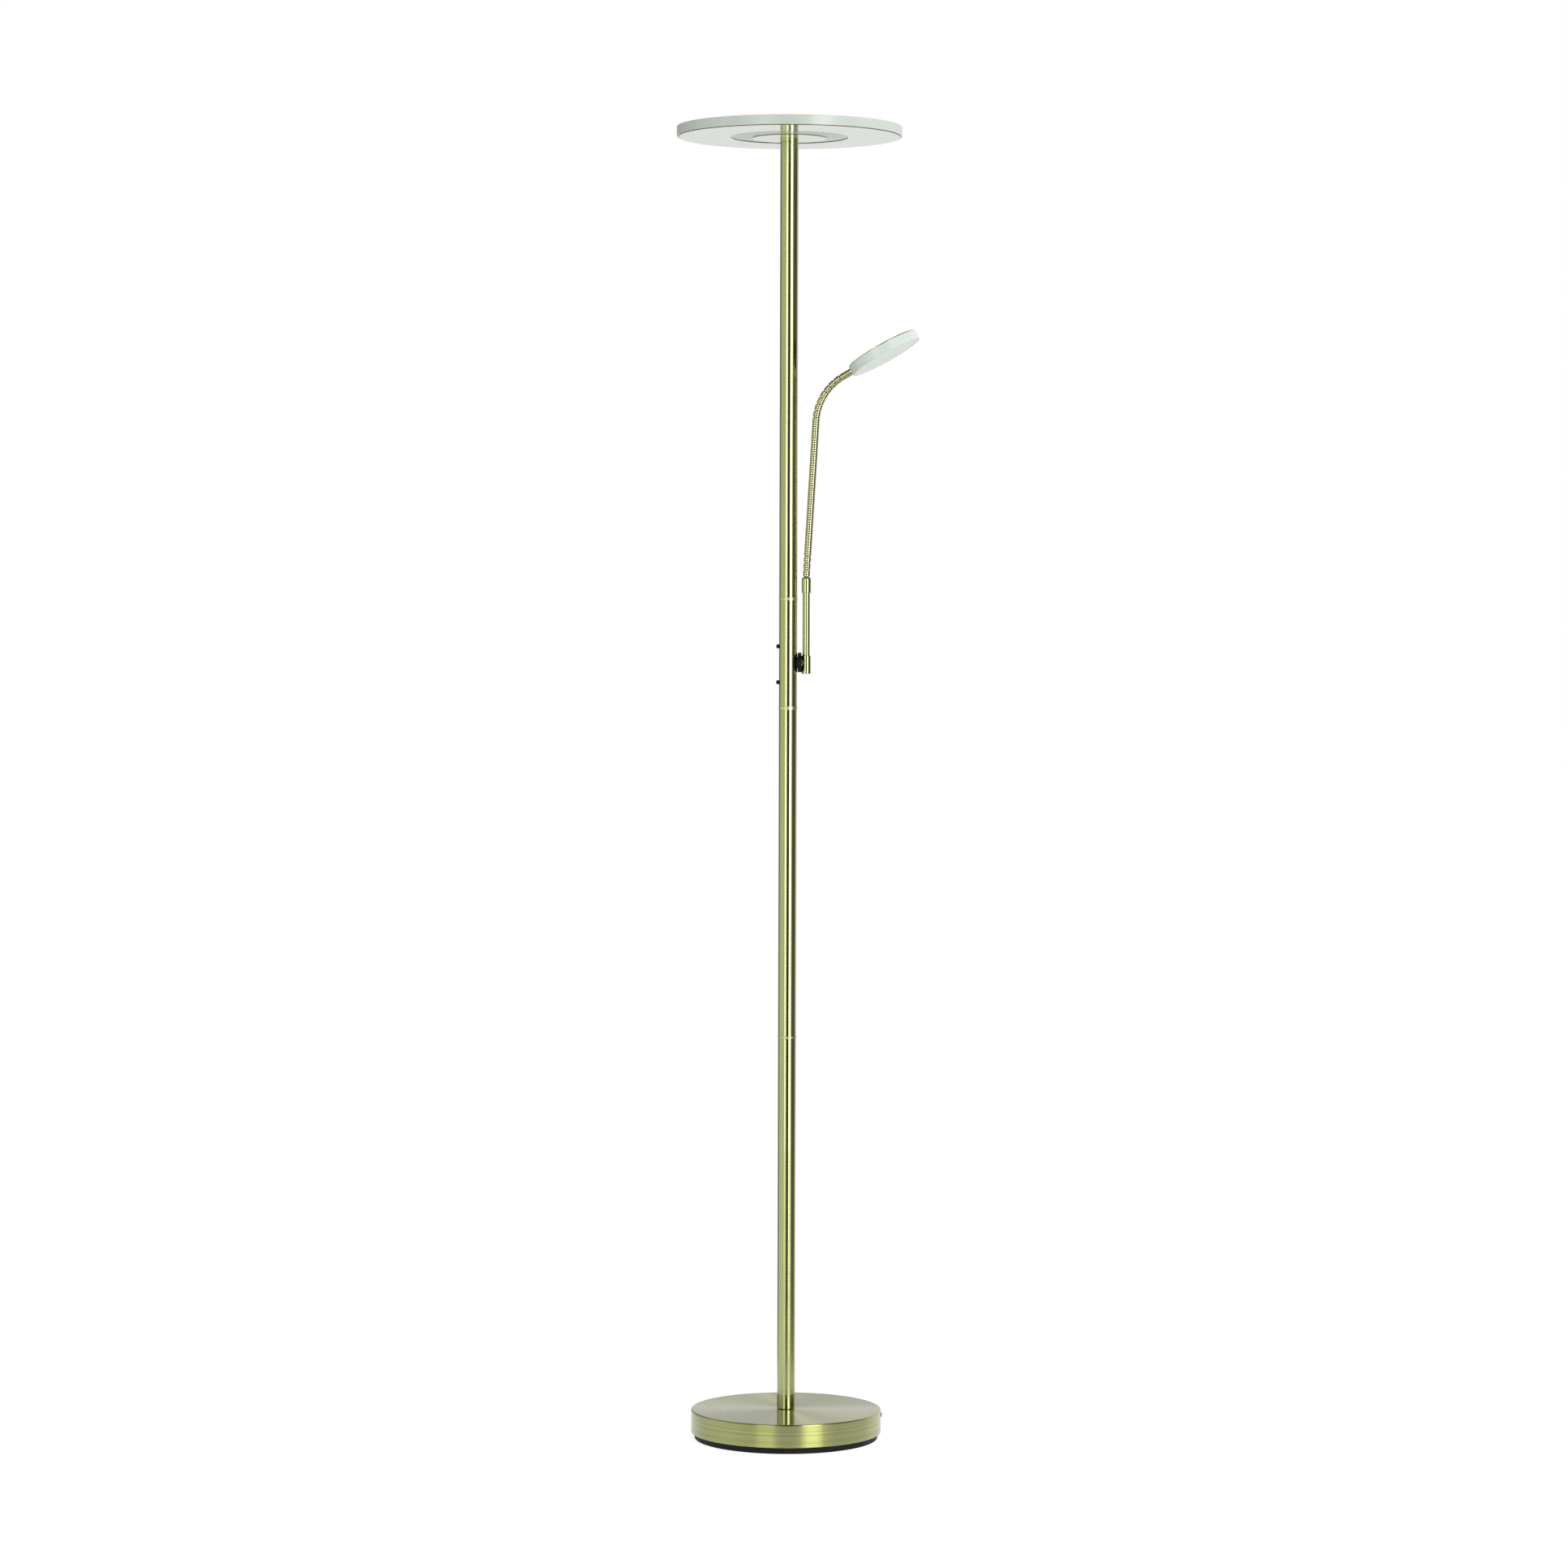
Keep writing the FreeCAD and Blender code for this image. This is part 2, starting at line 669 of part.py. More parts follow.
tube_foot = "(socket_floor - socket_drop + 0.2)"
ferrule_web = "(ferrule_rise + ferrule_seat)"
arm_tube = tube(
    "arm_tube", "arm_tube_diameter", "arm_tube_diameter - 2*arm_tube_wall", f"{ferrule_web} - {tube_foot}"
)
lead_hole = sketch_on(arm_tube, "YZ_Plane", "arm_lead_hole")
draw_circle(lead_hole, "stud_bore", "0", f"-{tube_foot}")
cut(arm_tube, lead_hole, "arm_tube_diameter", forward=False)
settle(arm_tube, (arm_offset, "0", f"pivot_height + {tube_foot}"))

neck_ferrule = turned("neck_ferrule", [
    (f"{tube_clear}/2", "0"),
    ("ferrule_diameter/2 - ferrule_chamfer", "0"),
    ("ferrule_diameter/2", "ferrule_chamfer"),
    ("ferrule_diameter/2", "ferrule_length - 2*ferrule_chamfer"),
    ("neck_diameter/2", "ferrule_length"),
    ("neck_bore/2", "ferrule_length"),
    ("neck_bore/2", "ferrule_seat"),
    (f"{tube_clear}/2", "ferrule_seat"),
])
settle(neck_ferrule, (arm_offset, "0", "pivot_height + ferrule_rise"))

# Flexible neck ------------------------------------------------------------------------
#
# The neck lies in an upright plane that is turned a little towards the viewer. It leaves
# the ferrule with a slight lean, runs straight, and bends over through an arc. The arc is
# a chain of short links: their hinges are the corners of a polygon round it.

turn = math.radians(size("neck_turn"))
outward = Vector(math.cos(turn), -math.sin(turn), 0)
bend_axis = Vector(math.sin(turn), math.cos(turn), 0)
hinge_step = size("bend_angle") / size("bend_hinges")
half_link = size("bend_radius") * math.tan(math.radians(hinge_step / 2))
link_length = 2 * half_link
neck_straight = size("neck_straight")
arm_x = size("pole_diameter") / 2 + size("saddle_thickness") + size("rotor_thickness") + size("socket_diameter") / 2
ferrule_top = size("pivot_height") + size("ferrule_rise") + size("ferrule_length")


def neck_rotation(lean):
    return Rotation(bend_axis, lean) * Rotation(Vector(0, 0, 1), -size("neck_turn"))


def neck_direction(lean):
    return neck_rotation(lean).multVec(Vector(0, 0, 1))


# A ribbed tube from one hinge to the next, with V-shaped grooves between sharp ribs.
# Its ends are turned down, so that the links clear each other when the neck bends.
def ribbed_link(label, length, at, lean, plain_end=0):
    bore = size("neck_bore") / 2
    crest = size("neck_diameter") / 2
    groove = crest - size("neck_groove")
    throat = size("neck_joint_diameter") / 2
    gap = size("link_gap") / 2
    ribbed = length - plain_end
    ribs = round(ribbed / size("rib_pitch"))
    pitch = ribbed / ribs
    outline = [Vector(bore, 0, gap), Vector(throat, 0, gap)]
    for number in range(ribs):
        outline.append(Vector(crest, 0, (number + 0.5) * pitch))
        if number < ribs - 1:
            outline.append(Vector(groove, 0, (number + 1) * pitch))
    if plain_end:
        outline.append(Vector(crest, 0, length))
        outline.append(Vector(bore, 0, length))
    else:
        outline.append(Vector(throat, 0, length - gap))
        outline.append(Vector(bore, 0, length - gap))
    section = Part.Face(Part.makePolygon(outline + [outline[0]]))
    link = doc.addObject("Part::Feature", label)
    link.Shape = section.revolve(Vector(), Vector(0, 0, 1), 360)
    link.Placement = Placement(at, neck_rotation(lean))
    pieces.append(link)
    return link


lean = size("neck_lean")
hinge = Vector(arm_x, 0, ferrule_top + size("link_gap") / 2)
for number in range(1, int(size("root_hinges"))):
    ribbed_link(f"neck_root_link_{number}", link_length, hinge, lean)
    hinge = hinge + neck_direction(lean) * link_length
stem_length = neck_straight + half_link - (size("root_hinges") - 1) * link_length
ribbed_link("neck_stem", stem_length, hinge, lean)
hinge = hinge + neck_direction(lean) * stem_length
for number in range(1, int(size("bend_hinges"))):
    lean = lean + hinge_step
    ribbed_link(f"neck_bend_link_{number}", link_length, hinge, lean)
    hinge = hinge + neck_direction(lean) * link_length
lean = lean + hinge_step
to_rim = half_link + size("tip_length")
tip = ribbed_link("neck_tip", to_rim, hinge, lean, plain_end=size("rib_pitch"))
stub_clear = size("tip_stub_length") + 1
tip_stub = Part.makeCylinder(
    size("tip_stub_diameter") / 2, stub_clear, Vector(0, 0, to_rim - 1), Vector(0, 0, 1)
).cut(Part.makeCylinder(size("neck_bore") / 2, stub_clear, Vector(0, 0, to_rim - 1), Vector(0, 0, 1)))
tip_place = tip.Placement
tip.Placement = Placement()
tip.Shape = tip.Shape.fuse(tip_stub).removeSplitter()
tip.Placement = tip_place

# Reading head -------------------------------------------------------------------------
#
# Its own X runs on along the neck, and its own Z points out of its back.

head_rotation = neck_rotation(lean) * along_minus_x
head_centre = hinge + neck_direction(lean) * (to_rim + size("reading_diameter") / 2)


def settle_in_reading_head(thing):
    thing.Placement = Placement(head_centre, head_rotation)
    pieces.append(thing)


back_face = "(reading_thickness/2)"
shell_top = f"({back_face} - reading_back_thickness)"
shell_ceiling = f"({shell_top} - reading_wall)"
open_face = "(-reading_thickness/2)"
lens_bottom = f"({open_face} + reading_lens_inset)"

reading_shell = turned("reading_shell", [
    ("0", shell_top),
    ("reading_diameter/2", shell_top),
    ("reading_diameter/2", open_face),
    ("reading_diameter/2 - reading_wall", open_face),
    ("reading_diameter/2 - reading_wall", shell_ceiling),
    ("0", shell_ceiling),
])
neck_way = sketch_on(reading_shell, "YZ_Plane", "reading_neck_hole")
draw_circle(neck_way, "tip_stub_diameter + 2*bolt_fit")
cut(reading_shell, neck_way, "reading_diameter", forward=False)
settle_in_reading_head(reading_shell)

reading_back = turned("reading_back", [
    ("0", shell_top),
    ("reading_diameter/2 - reading_back_inset", shell_top),
    ("reading_diameter/2 - reading_back_inset", back_face),
    ("0", back_face),
])
back_plane = size("reading_thickness") / 2
soften(reading_back, "Chamfer", "reading_back_thickness/2", lambda edge: (
    isinstance(edge.Curve, Part.Circle) and edge.BoundBox.ZMin > back_plane - 0.01
))
settle_in_reading_head(reading_back)

lens_radius = "(reading_diameter/2 - reading_wall - reading_lens_fit)"
reading_lens = turned("reading_lens", [
    ("0", lens_bottom),
    (lens_radius, lens_bottom),
    (lens_radius, f"{lens_bottom} + reading_lens_thickness"),
    ("0", f"{lens_bottom} + reading_lens_thickness"),
])
settle_in_reading_head(reading_lens)


# A board with a ring of light-emitting chips on its face; the chips stand on Z = face.
def led_board(label, corners, face, circle, count, facing):
    body = turned(label, corners)
    chip = sketch_on(body, "XY_Plane", f"{label}_chip")
    draw_rectangle(
        chip, f"{circle}/2 - led_width/2", "-led_width/2", f"{circle}/2 + led_width/2", "led_width/2"
    )
    chip_pad = pad(body, chip, "led_thickness", face)
    chip_pad.Reversed = facing < 0
    doc.recompute()
    ring = body.newObject("PartDesign::PolarPattern", f"{label}_ring")
    ring.Originals = [chip_pad]
    ring.Axis = (chip, ["N_Axis"])
    ring.Angle = 360
    bind(ring, Occurrences=count)
    body.Tip = ring
    doc.recompute()
    return body


board_under = f"({shell_ceiling} - board_thickness)"
reading_board = led_board("reading_board", [
    ("0", board_under),
    ("reading_board_diameter/2", board_under),
    ("reading_board_diameter/2", shell_ceiling),
    ("0", shell_ceiling),
], board_under, "reading_led_circle", "reading_led_count", -1)
settle_in_reading_head(reading_board)

ring_nut = tube(
    "reading_ring_nut", "ring_nut_diameter", "tip_stub_diameter + 2*thread_fit", "ring_nut_thickness"
)
nut_seat = Vector(-size("reading_diameter") / 2 + size("reading_wall") + size("reading_lens_fit"), 0, 0)
ring_nut.Placement = Placement(head_centre, head_rotation) * Placement(nut_seat, along_x)
pieces.append(ring_nut)

# Main head ----------------------------------------------------------------------------

head_floor = "(lamp_height - head_thickness)"
pan_top = f"({head_floor} + pan_thickness)"
dish_floor = f"({head_floor} - dish_drop)"
dish_top = f"({pan_top} - dish_drop)"
plate_top = f"({pan_top} + heat_plate_thickness)"
lens_seat = "(lamp_height - lens_inset - lens_thickness)"
rim_inside = "(head_diameter/2 - rim_wall)"
ledge_edge = f"({rim_inside} - rim_ledge)"

head_rim = turned("head_rim", [
    ("head_diameter/2", head_floor),
    ("head_diameter/2", "lamp_height"),
    (rim_inside, "lamp_height"),
    (rim_inside, lens_seat),
    (ledge_edge, lens_seat),
    (ledge_edge, f"{lens_seat} - rim_ledge_thickness"),
    (rim_inside, f"{lens_seat} - rim_ledge_thickness"),
    (rim_inside, f"{pan_top} + rim_ledge_thickness"),
    (ledge_edge, f"{pan_top} + rim_ledge_thickness"),
    (ledge_edge, pan_top),
    (rim_inside, pan_top),
    (rim_inside, head_floor),
])
soften(head_rim, "Chamfer", "rim_bevel", lambda edge: is_circle(edge, size("head_diameter")))
settle(head_rim)

head_pan = turned("head_pan", [
    (clear_of_nipple, dish_floor),
    ("dish_inner_diameter/2", dish_floor),
    ("dish_inner_diameter/2", f"{dish_floor} + dish_step"),
    ("dish_outer_diameter/2", f"{head_floor} + dish_step"),
    ("dish_outer_diameter/2", head_floor),
    (f"{rim_inside} - pan_seam", head_floor),
    (f"{rim_inside} - pan_seam", pan_top),
    ("dish_outer_diameter/2", pan_top),
    ("dish_inner_diameter/2", dish_top),
    (clear_of_nipple, dish_top),
])
settle(head_pan)

head_hub = tube("head_hub", "hub_diameter", f"2*{clear_of_nipple}", f"{plate_top} - {dish_top}")
settle(head_hub, ("0", "0", dish_top))

heat_plate = tube(
    "head_heat_plate", f"2*({ledge_edge} - heat_plate_fit)", "hub_diameter + 2*heat_plate_fit", "heat_plate_thickness"
)
settle(heat_plate, ("0", "0", pan_top))

# The chips stand on a circle midway between the board's inner and outer edge.
board_top = "led_board_thickness"
board_inside = "(hub_diameter/2 + led_board_gap)"
board_outside = f"({ledge_edge} - led_board_margin)"
head_board = led_board("head_led_board", [
    (board_inside, "0"),
    (board_outside, "0"),
    (board_outside, board_top),
    (board_inside, board_top),
], board_top, f"({board_inside} + {board_outside})", "led_count", 1)
settle(head_board, ("0", "0", plate_top))

head_lens = turned("head_lens", [
    ("0", lens_seat),
    (f"{rim_inside} - lens_fit", lens_seat),
    (f"{rim_inside} - lens_fit", "lamp_height - lens_inset"),
    ("0", "lamp_height - lens_inset"),
])
settle(head_lens)

head_nut = hex_nut("head_nut", "nut_width", "nut_thickness", "nipple_diameter + 2*thread_fit")
settle(head_nut, ("0", "0", plate_top))
nipple_foot = f"({pole_top} - plug_length + 4)"
nipple_end = f"({plate_top} + nut_thickness + 0.6)"
head_nipple = tube("head_nipple", "nipple_diameter", "nipple_bore", f"{nipple_end} - {nipple_foot}")
settle(head_nipple, ("0", "0", nipple_foot))

pole_cable = doc.addObject("Part::Cylinder", "pole_cable")
bind(pole_cable, Radius="cable_diameter/2", Height=f"{nipple_end} - {nipple_bottom}")
settle(pole_cable, ("0", "0", nipple_bottom))

# Checks and export ----------------------------------------------------------------------

doc.recompute()
for thing in doc.Objects:
    if "Invalid" in thing.State or "Error" in thing.State:
        raise RuntimeError(f"{thing.Label} failed")
for piece in pieces:
    if piece.Shape.isNull() or not piece.Shape.isValid():
        raise RuntimeError(f"{piece.Label} has no valid shape")
for piece in pieces:
    piece.Shape.exportStep(f"parts/{piece.Label}.step")
print(f"{len(pieces)} pieces written")
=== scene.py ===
import json
import math
import bpy
from mathutils import Matrix, Quaternion, Vector


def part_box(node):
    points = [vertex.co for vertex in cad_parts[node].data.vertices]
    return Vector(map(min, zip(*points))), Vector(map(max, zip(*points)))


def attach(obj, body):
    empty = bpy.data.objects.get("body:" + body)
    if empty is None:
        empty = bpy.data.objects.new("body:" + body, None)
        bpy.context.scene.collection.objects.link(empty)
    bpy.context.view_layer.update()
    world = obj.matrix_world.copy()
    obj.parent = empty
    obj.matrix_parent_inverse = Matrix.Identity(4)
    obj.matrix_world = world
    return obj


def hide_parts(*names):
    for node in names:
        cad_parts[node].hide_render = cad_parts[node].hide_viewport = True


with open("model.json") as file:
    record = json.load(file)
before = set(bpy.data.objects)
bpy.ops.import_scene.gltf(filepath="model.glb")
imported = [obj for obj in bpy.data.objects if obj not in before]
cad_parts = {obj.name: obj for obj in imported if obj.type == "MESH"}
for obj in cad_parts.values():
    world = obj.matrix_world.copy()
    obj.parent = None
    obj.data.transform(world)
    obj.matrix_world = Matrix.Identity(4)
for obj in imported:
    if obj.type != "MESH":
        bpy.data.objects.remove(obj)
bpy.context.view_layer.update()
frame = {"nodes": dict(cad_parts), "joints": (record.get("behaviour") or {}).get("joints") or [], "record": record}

# The lamp stands on the floor at the origin, with its pole on Z. Blender works in metres;
# the dictionaries below are in millimetres unless a note says otherwise.
mm = 0.001
nodes = frame["nodes"]
bodies = frame["record"]["behaviour"]["bodies"]
bodyOfNode = {node: body for body, members in bodies.items() for node in members}
joints = {joint["name"]: joint for joint in frame["joints"]}
quarterTurn = math.pi / 2


# lowest and highest corner of a CAD node, in millimetres
def extent(node):
    low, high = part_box(node)
    return Vector(low) / mm, Vector(high) / mm


def middleHeight(node):
    low, high = extent(node)
    return (low.z + high.z) / 2


def freshStart():
    if bpy.context.mode != "OBJECT":
        bpy.ops.object.mode_set(mode="OBJECT")
    bpy.ops.object.select_all(action="DESELECT")


def hold(piece):
    freshStart()
    piece.select_set(True)
    bpy.context.view_layer.objects.active = piece


def remove(piece):
    hold(piece)
    bpy.ops.object.delete()


# selects the points that pass a test, and stays in edit mode
def pickPoints(piece, wanted):
    bpy.ops.object.mode_set(mode="EDIT")
    bpy.ops.mesh.select_mode(type="VERT")
    bpy.ops.mesh.select_all(action="DESELECT")
    bpy.ops.object.mode_set(mode="OBJECT")
    for point in piece.data.vertices:
        point.select = wanted(point.co)
    bpy.ops.object.mode_set(mode="EDIT")


lathe = {
    "steps": 96,
    "joinWithin": 0.001,
    "cornerWithin": 0.002,
    "wideRounding": 1.5,
    "wideSegments": 7,
    "narrowSegments": 4,
}


# Draws an outline of (radius, height, rounding) corners and spins it about Z. It is closed,
# unless both its ends are on the axis.
def turnOnLathe(name, corners, steps=lathe["steps"]):
    freshStart()
    corners = [(corner + (0,))[:3] for corner in corners]
    radius, height, rounding = corners[0]
    bpy.ops.mesh.primitive_plane_add(size=mm, location=(radius * mm, 0, height * mm))
    bpy.ops.object.transform_apply(location=True, rotation=True, scale=True)
    piece = bpy.context.active_object
    piece.name = name
    bpy.ops.object.mode_set(mode="EDIT")
    bpy.ops.mesh.select_all(action="SELECT")
    bpy.ops.mesh.merge(type="CENTER")
    onAxis = corners[0][0] == 0 and corners[-1][0] == 0
    following = corners[1:] if onAxis else corners[1:] + corners[:1]
    for here, there in zip(corners, following):
        run = ((there[0] - here[0]) * mm, 0, (there[1] - here[1]) * mm)
        bpy.ops.mesh.extrude_vertices_move(TRANSFORM_OT_translate={"value": run})
    bpy.ops.mesh.select_all(action="SELECT")
    bpy.ops.mesh.remove_doubles(threshold=lathe["joinWithin"] * mm)
    near = lathe["cornerWithin"] * mm
    for rounding in sorted({corner[2] for corner in corners if corner[2]}):
        spots = [Vector((c[0] * mm, 0, c[1] * mm)) for c in corners if c[2] == rounding]
        segments = lathe["narrowSegments" if rounding < lathe["wideRounding"] else "wideSegments"]
        pickPoints(piece, lambda point: any((point - spot).length < near for spot in spots))
        bpy.ops.mesh.bevel(offset=rounding * mm, segments=segments, affect="VERTICES")
    bpy.ops.mesh.select_all(action="SELECT")
    bpy.ops.mesh.spin(steps=steps, angle=2 * math.pi, center=(0, 0, 0), axis=(0, 0, 1))
    bpy.ops.mesh.select_all(action="SELECT")
    bpy.ops.mesh.remove_doubles(threshold=lathe["joinWithin"] * mm)
    bpy.ops.mesh.normals_make_consistent(inside=False)
    bpy.ops.object.mode_set(mode="OBJECT")
    return piece


# a plain rod that stands on the origin, to drill or to join with
def turnRod(name, radius, length, steps=32):
    return turnOnLathe(name, [(0, 0), (radius, 0), (radius, length), (0, length)], steps)


# a block with bevelled edges, between two corners
def shapeBlock(name, low, high, bevel):
    freshStart()
    low, high = Vector(low) * mm, Vector(high) * mm
    bpy.ops.mesh.primitive_cube_add(size=1, location=(low + high) / 2)
    piece = bpy.context.active_object
    piece.name = name
    piece.scale = high - low
    bpy.ops.object.transform_apply(location=True, rotation=True, scale=True)
    bpy.ops.object.mode_set(mode="EDIT")
    bpy.ops.mesh.select_all(action="SELECT")
    bpy.ops.mesh.bevel(offset=bevel * mm, segments=3)
    bpy.ops.object.mode_set(mode="OBJECT")
    return piece


# puts a piece that was made upright at the origin where it belongs, place in its mesh
def setInPlace(piece, matrix):
    hold(piece)
    piece.matrix_world = matrix
    bpy.ops.object.transform_apply(location=True, rotation=True, scale=True)
    return piece


# the place of a lathe piece that lies along X: its foot is at x, side -1 turns it to the left
def lyingAt(x, height, side=1):
    turned = Matrix.Rotation(side * quarterTurn, 4, "Y")
    return Matrix.Translation((x * mm, 0, height * mm)) @ turned


def combine(piece, tool, operation):
    hold(piece)
    joining = piece.modifiers.new("joining", "BOOLEAN")
    joining.operation = operation
    joining.solver = "EXACT"
    joining.object = tool
    bpy.ops.object.modifier_apply(modifier=joining.name)
    remove(tool)
    return piece


# smooths, gives the finish, and lets the piece ride where its CAD node rides
def deliver(piece, material, node):
    hold(piece)
    bpy.ops.object.shade_smooth_by_angle(angle=math.radians(35))
    even = piece.modifiers.new("even", "WEIGHTED_NORMAL")
    even.keep_sharp = True
    bpy.ops.object.modifier_apply(modifier=even.name)
    piece.data.materials.clear()
    piece.data.materials.append(material)
    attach(piece, bodyOfNode[node])
    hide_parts(node)


# A socket that Python's operators work on. Each operator adds a Math node.
class Wire:
    def __init__(self, tree, socket=None):
        self.tree = tree
        self.socket = socket

    # makes any other node: settings first, then values or links of its sockets
    def node(self, kind, sockets, output=0, **settings):
        made = self.tree.nodes.new(kind)
        for setting, value in settings.items():
            setattr(made, setting, value)
        for socket, value in sockets.items():
            if isinstance(value, Wire):
                self.tree.links.new(value.socket, made.inputs[socket])
            else:
                made.inputs[socket].default_value = value
        return Wire(self.tree, made.outputs[output] if made.outputs else None)

    def maths(self, operation, first, second):
        return self.node("ShaderNodeMath", {0: first, 1: second}, operation=operation)

    def __add__(self, other):
        return self.maths("ADD", self, other)

    def __sub__(self, other):
        return self.maths("SUBTRACT", self, other)

    def __rsub__(self, other):
        return self.maths("SUBTRACT", other, self)

    def __mul__(self, other):
        return self.maths("MULTIPLY", self, other)

    def __truediv__(self, other):
        return self.maths("DIVIDE", self, other)

    def __pow__(self, other):
        return self.maths("POWER", self, other)

    __radd__ = __add__
    __rmul__ = __mul__

    # how far a value is from a number
    def off(self, number):
        return self.node("ShaderNodeMath", {0: self - number}, operation="ABSOLUTE")

    # stretches a range of values to 0..1, clamped
    def between(self, low, high, style="SMOOTHSTEP"):
        ends = {"Value": self, "From Min": low, "From Max": high, "To Min": 0.0, "To Max": 1.0}
        return self.node("ShaderNodeMapRange", ends, interpolation_type=style)

    # a colour between two, with this value as the factor
    def tint(self, first, second):
        return self.node("ShaderNodeMix", {0: self, 6: first, 7: second}, output=2, data_type="RGBA")

    # noise along one number, such as a height
    def streaks(self, detail=2.0):
        sockets = {"W": self, "Scale": 1.0, "Detail": detail}
        return self.node("ShaderNodeTexNoise", sockets, noise_dimensions="1D")


# the three parts of a place or a direction
def splitXyz(wire, vector):
    return [wire.node("ShaderNodeSeparateXYZ", {0: vector}, output=part) for part in "XYZ"]


# 1 for rays of one kind, such as "Is Camera Ray"
def rayKind(wire, kind):
    return wire.node("ShaderNodeLightPath", {}, output=kind)


class Finish:
    # starts a material, with Object coordinates moved to a centre in millimetres
    def __init__(self, name, centre=(0, 0, 0)):
        self.material = bpy.data.materials.new(name)
        self.material.use_nodes = True
        self.tree = self.material.node_tree
        self.tree.nodes.clear()
        self.wire = Wire(self.tree)
        coordinates = self.wire.node("ShaderNodeTexCoord", {}, output="Object")
        moved = tuple(-value * mm for value in centre)
        self.place = self.wire.node("ShaderNodeMapping", {"Vector": coordinates, "Location": moved})
        self.x, self.y, self.z = splitXyz(self.wire, self.place)

    # distance from the upright axis through the centre, in metres
    def fromAxis(self):
        return (self.x * self.x + self.y * self.y) ** 0.5

    # patches of a size in millimetres
    def patches(self, patchSize, detail=2.0):
        sockets = {"Vector": self.place, "Scale": 1 / (patchSize * mm), "Detail": detail}
        return self.wire.node("ShaderNodeTexNoise", sockets)

    # closes the material; height is a relief and depth its size in millimetres
    def close(self, color, roughness, height, depth, **constants):
        bump = {"Height": height, "Distance": depth * mm, "Strength": 1.0}
        relief = self.wire.node("ShaderNodeBump", bump)
        sockets = {"Base Color": color, "Roughness": roughness, "Normal": relief}
        for socket, value in constants.items():
            sockets[socket.replace("_", " ")] = value
        shader = self.wire.node("ShaderNodeBsdfPrincipled", sockets)
        self.wire.node("ShaderNodeOutputMaterial", {"Surface": shader})
        return self.material


antiqueBrass = {
    "bright": (0.475, 0.51, 0.175, 1),
    "dark": (0.405, 0.435, 0.13, 1),
    "smoothest": 0.17,
    "roughest": 0.22,
    "stretch": 0.9,
    "acrossTheLines": 0.25,
    "brushSpacing": 0.12,
    "brushDepth": 0.0012,
    "bandSpacing": 1.3,
    "patchSize": 70,
    "lacquer": 1.0,
    "lacquerRoughness": 0.05,
    "lacquerIndex": 2.0,
}
drumBrass = {
    **antiqueBrass,
    "bright": (0.50, 0.53, 0.15, 1),
    "dark": (0.29, 0.315, 0.065, 1),
    "smoothest": 0.32,
    "roughest": 0.35,
    "stretch": 0.985,
    "bandSpacing": 2.2,
    "lacquer": 0.82,
}


# Brushed round its own axis: on a wall the lines follow the height, on a flat the radius.
# The gloss is stretched across the lines.
def brushedBrass(name, centre=(0, 0, 0), look=antiqueBrass):
    finish = Finish(name, centre)
    travel = (finish.fromAxis() + finish.z) / mm
    fine = (travel / look["brushSpacing"]).streaks(3.0)
    bands = (travel / look["bandSpacing"]).streaks(3.0)
    patches = finish.patches(look["patchSize"])
    tone = (bands * 0.5 + fine * 0.2 + patches * 0.3).between(0.36, 0.64)
    spread = look["roughest"] - look["smoothest"]
    rough = look["smoothest"] + patches.between(0.35, 0.65) * spread
    return finish.close(
        tone.tint(look["dark"], look["bright"]), rough, fine * 0.8 + bands * 0.2, look["brushDepth"],
        Metallic=1.0, Anisotropic=look["stretch"], Anisotropic_Rotation=look["acrossTheLines"],
        Coat_Weight=look["lacquer"], Coat_Roughness=look["lacquerRoughness"],
        Coat_IOR=look["lacquerIndex"],
    )


ringBrass = {
    "bright": (0.65, 0.665, 0.37, 1),
    "dark": (0.59, 0.60, 0.32, 1),
    "smoothest": 0.34,
    "fineRough": 0.06,
    "fineSpacing": 0.2,
    "fineDepth": 0.001,
    "patchSize": 9,
}


def polishedBrass(name, look=ringBrass):
    finish = Finish(name)
    fine = (finish.z / mm / look["fineSpacing"]).streaks()
    tone = finish.patches(look["patchSize"]).between(0.4, 0.6).tint(look["dark"], look["bright"])
    rough = look["smoothest"] + fine * look["fineRough"]
    return finish.close(tone, rough, fine, look["fineDepth"], Metallic=1.0)


neckBrass = {
    "crest": (0.64, 0.64, 0.37, 1),
    "valleyShade": (0.15, 0.15, 0.055, 1),
    "patchSize": 6,
    "rubSize": 0.9,
    "rubDepth": 0.003,
    "smoothest": 0.12,
    "grooveRough": 0.25,
    "rubRough": 0.08,
}


# The neck: its windings are bright outside, with rubbed patches in their gloss. In the grooves between they are
# rougher, and painted darker as shade.
def woundBrass(name, look=neckBrass):
    finish = Finish(name)
    depth = finish.wire.node("ShaderNodeAttribute", {}, output="Fac", attribute_name="groove")
    patches = finish.patches(look["patchSize"])
    rubs = finish.patches(look["rubSize"], 3.0)
    # the grooves get more roughness and a painted shade, by the groove value and random patches
    grooveDullAndShade = (depth + patches * 0.25 - 0.12).between(0.05, 0.95)
    rough = look["smoothest"] + grooveDullAndShade * look["grooveRough"] + rubs * look["rubRough"]
    tone = grooveDullAndShade.tint(look["crest"], look["valleyShade"])
    return finish.close(tone, rough, rubs, look["rubDepth"], Metallic=1.0)


# the main head's copy of the satin paint, its colour lowered as painted shade on the rim
headSatinPaintedShade = {
    "light": (0.58, 0.64, 0.57, 1),
    "shade": (0.55, 0.61, 0.54, 1),
    "patchSize": 60,
    "peelSize": 1.1,
    "peelDepth": 0.0004,
    "smoothest": 0.24,
    "patchRough": 0.06,
    "clearCoat": 0.2,
    "clearCoatRoughness": 0.1,
    "shine": 0.4,
}
# the reading head's copy of the same paint, painted lighter as light falling on it
readingSatinPaintedLight = {
    **headSatinPaintedShade,
    "light": (0.66, 0.735, 0.67, 1),
    "shade": (0.63, 0.705, 0.64, 1),
    "peelDepth": 0.0002,
}
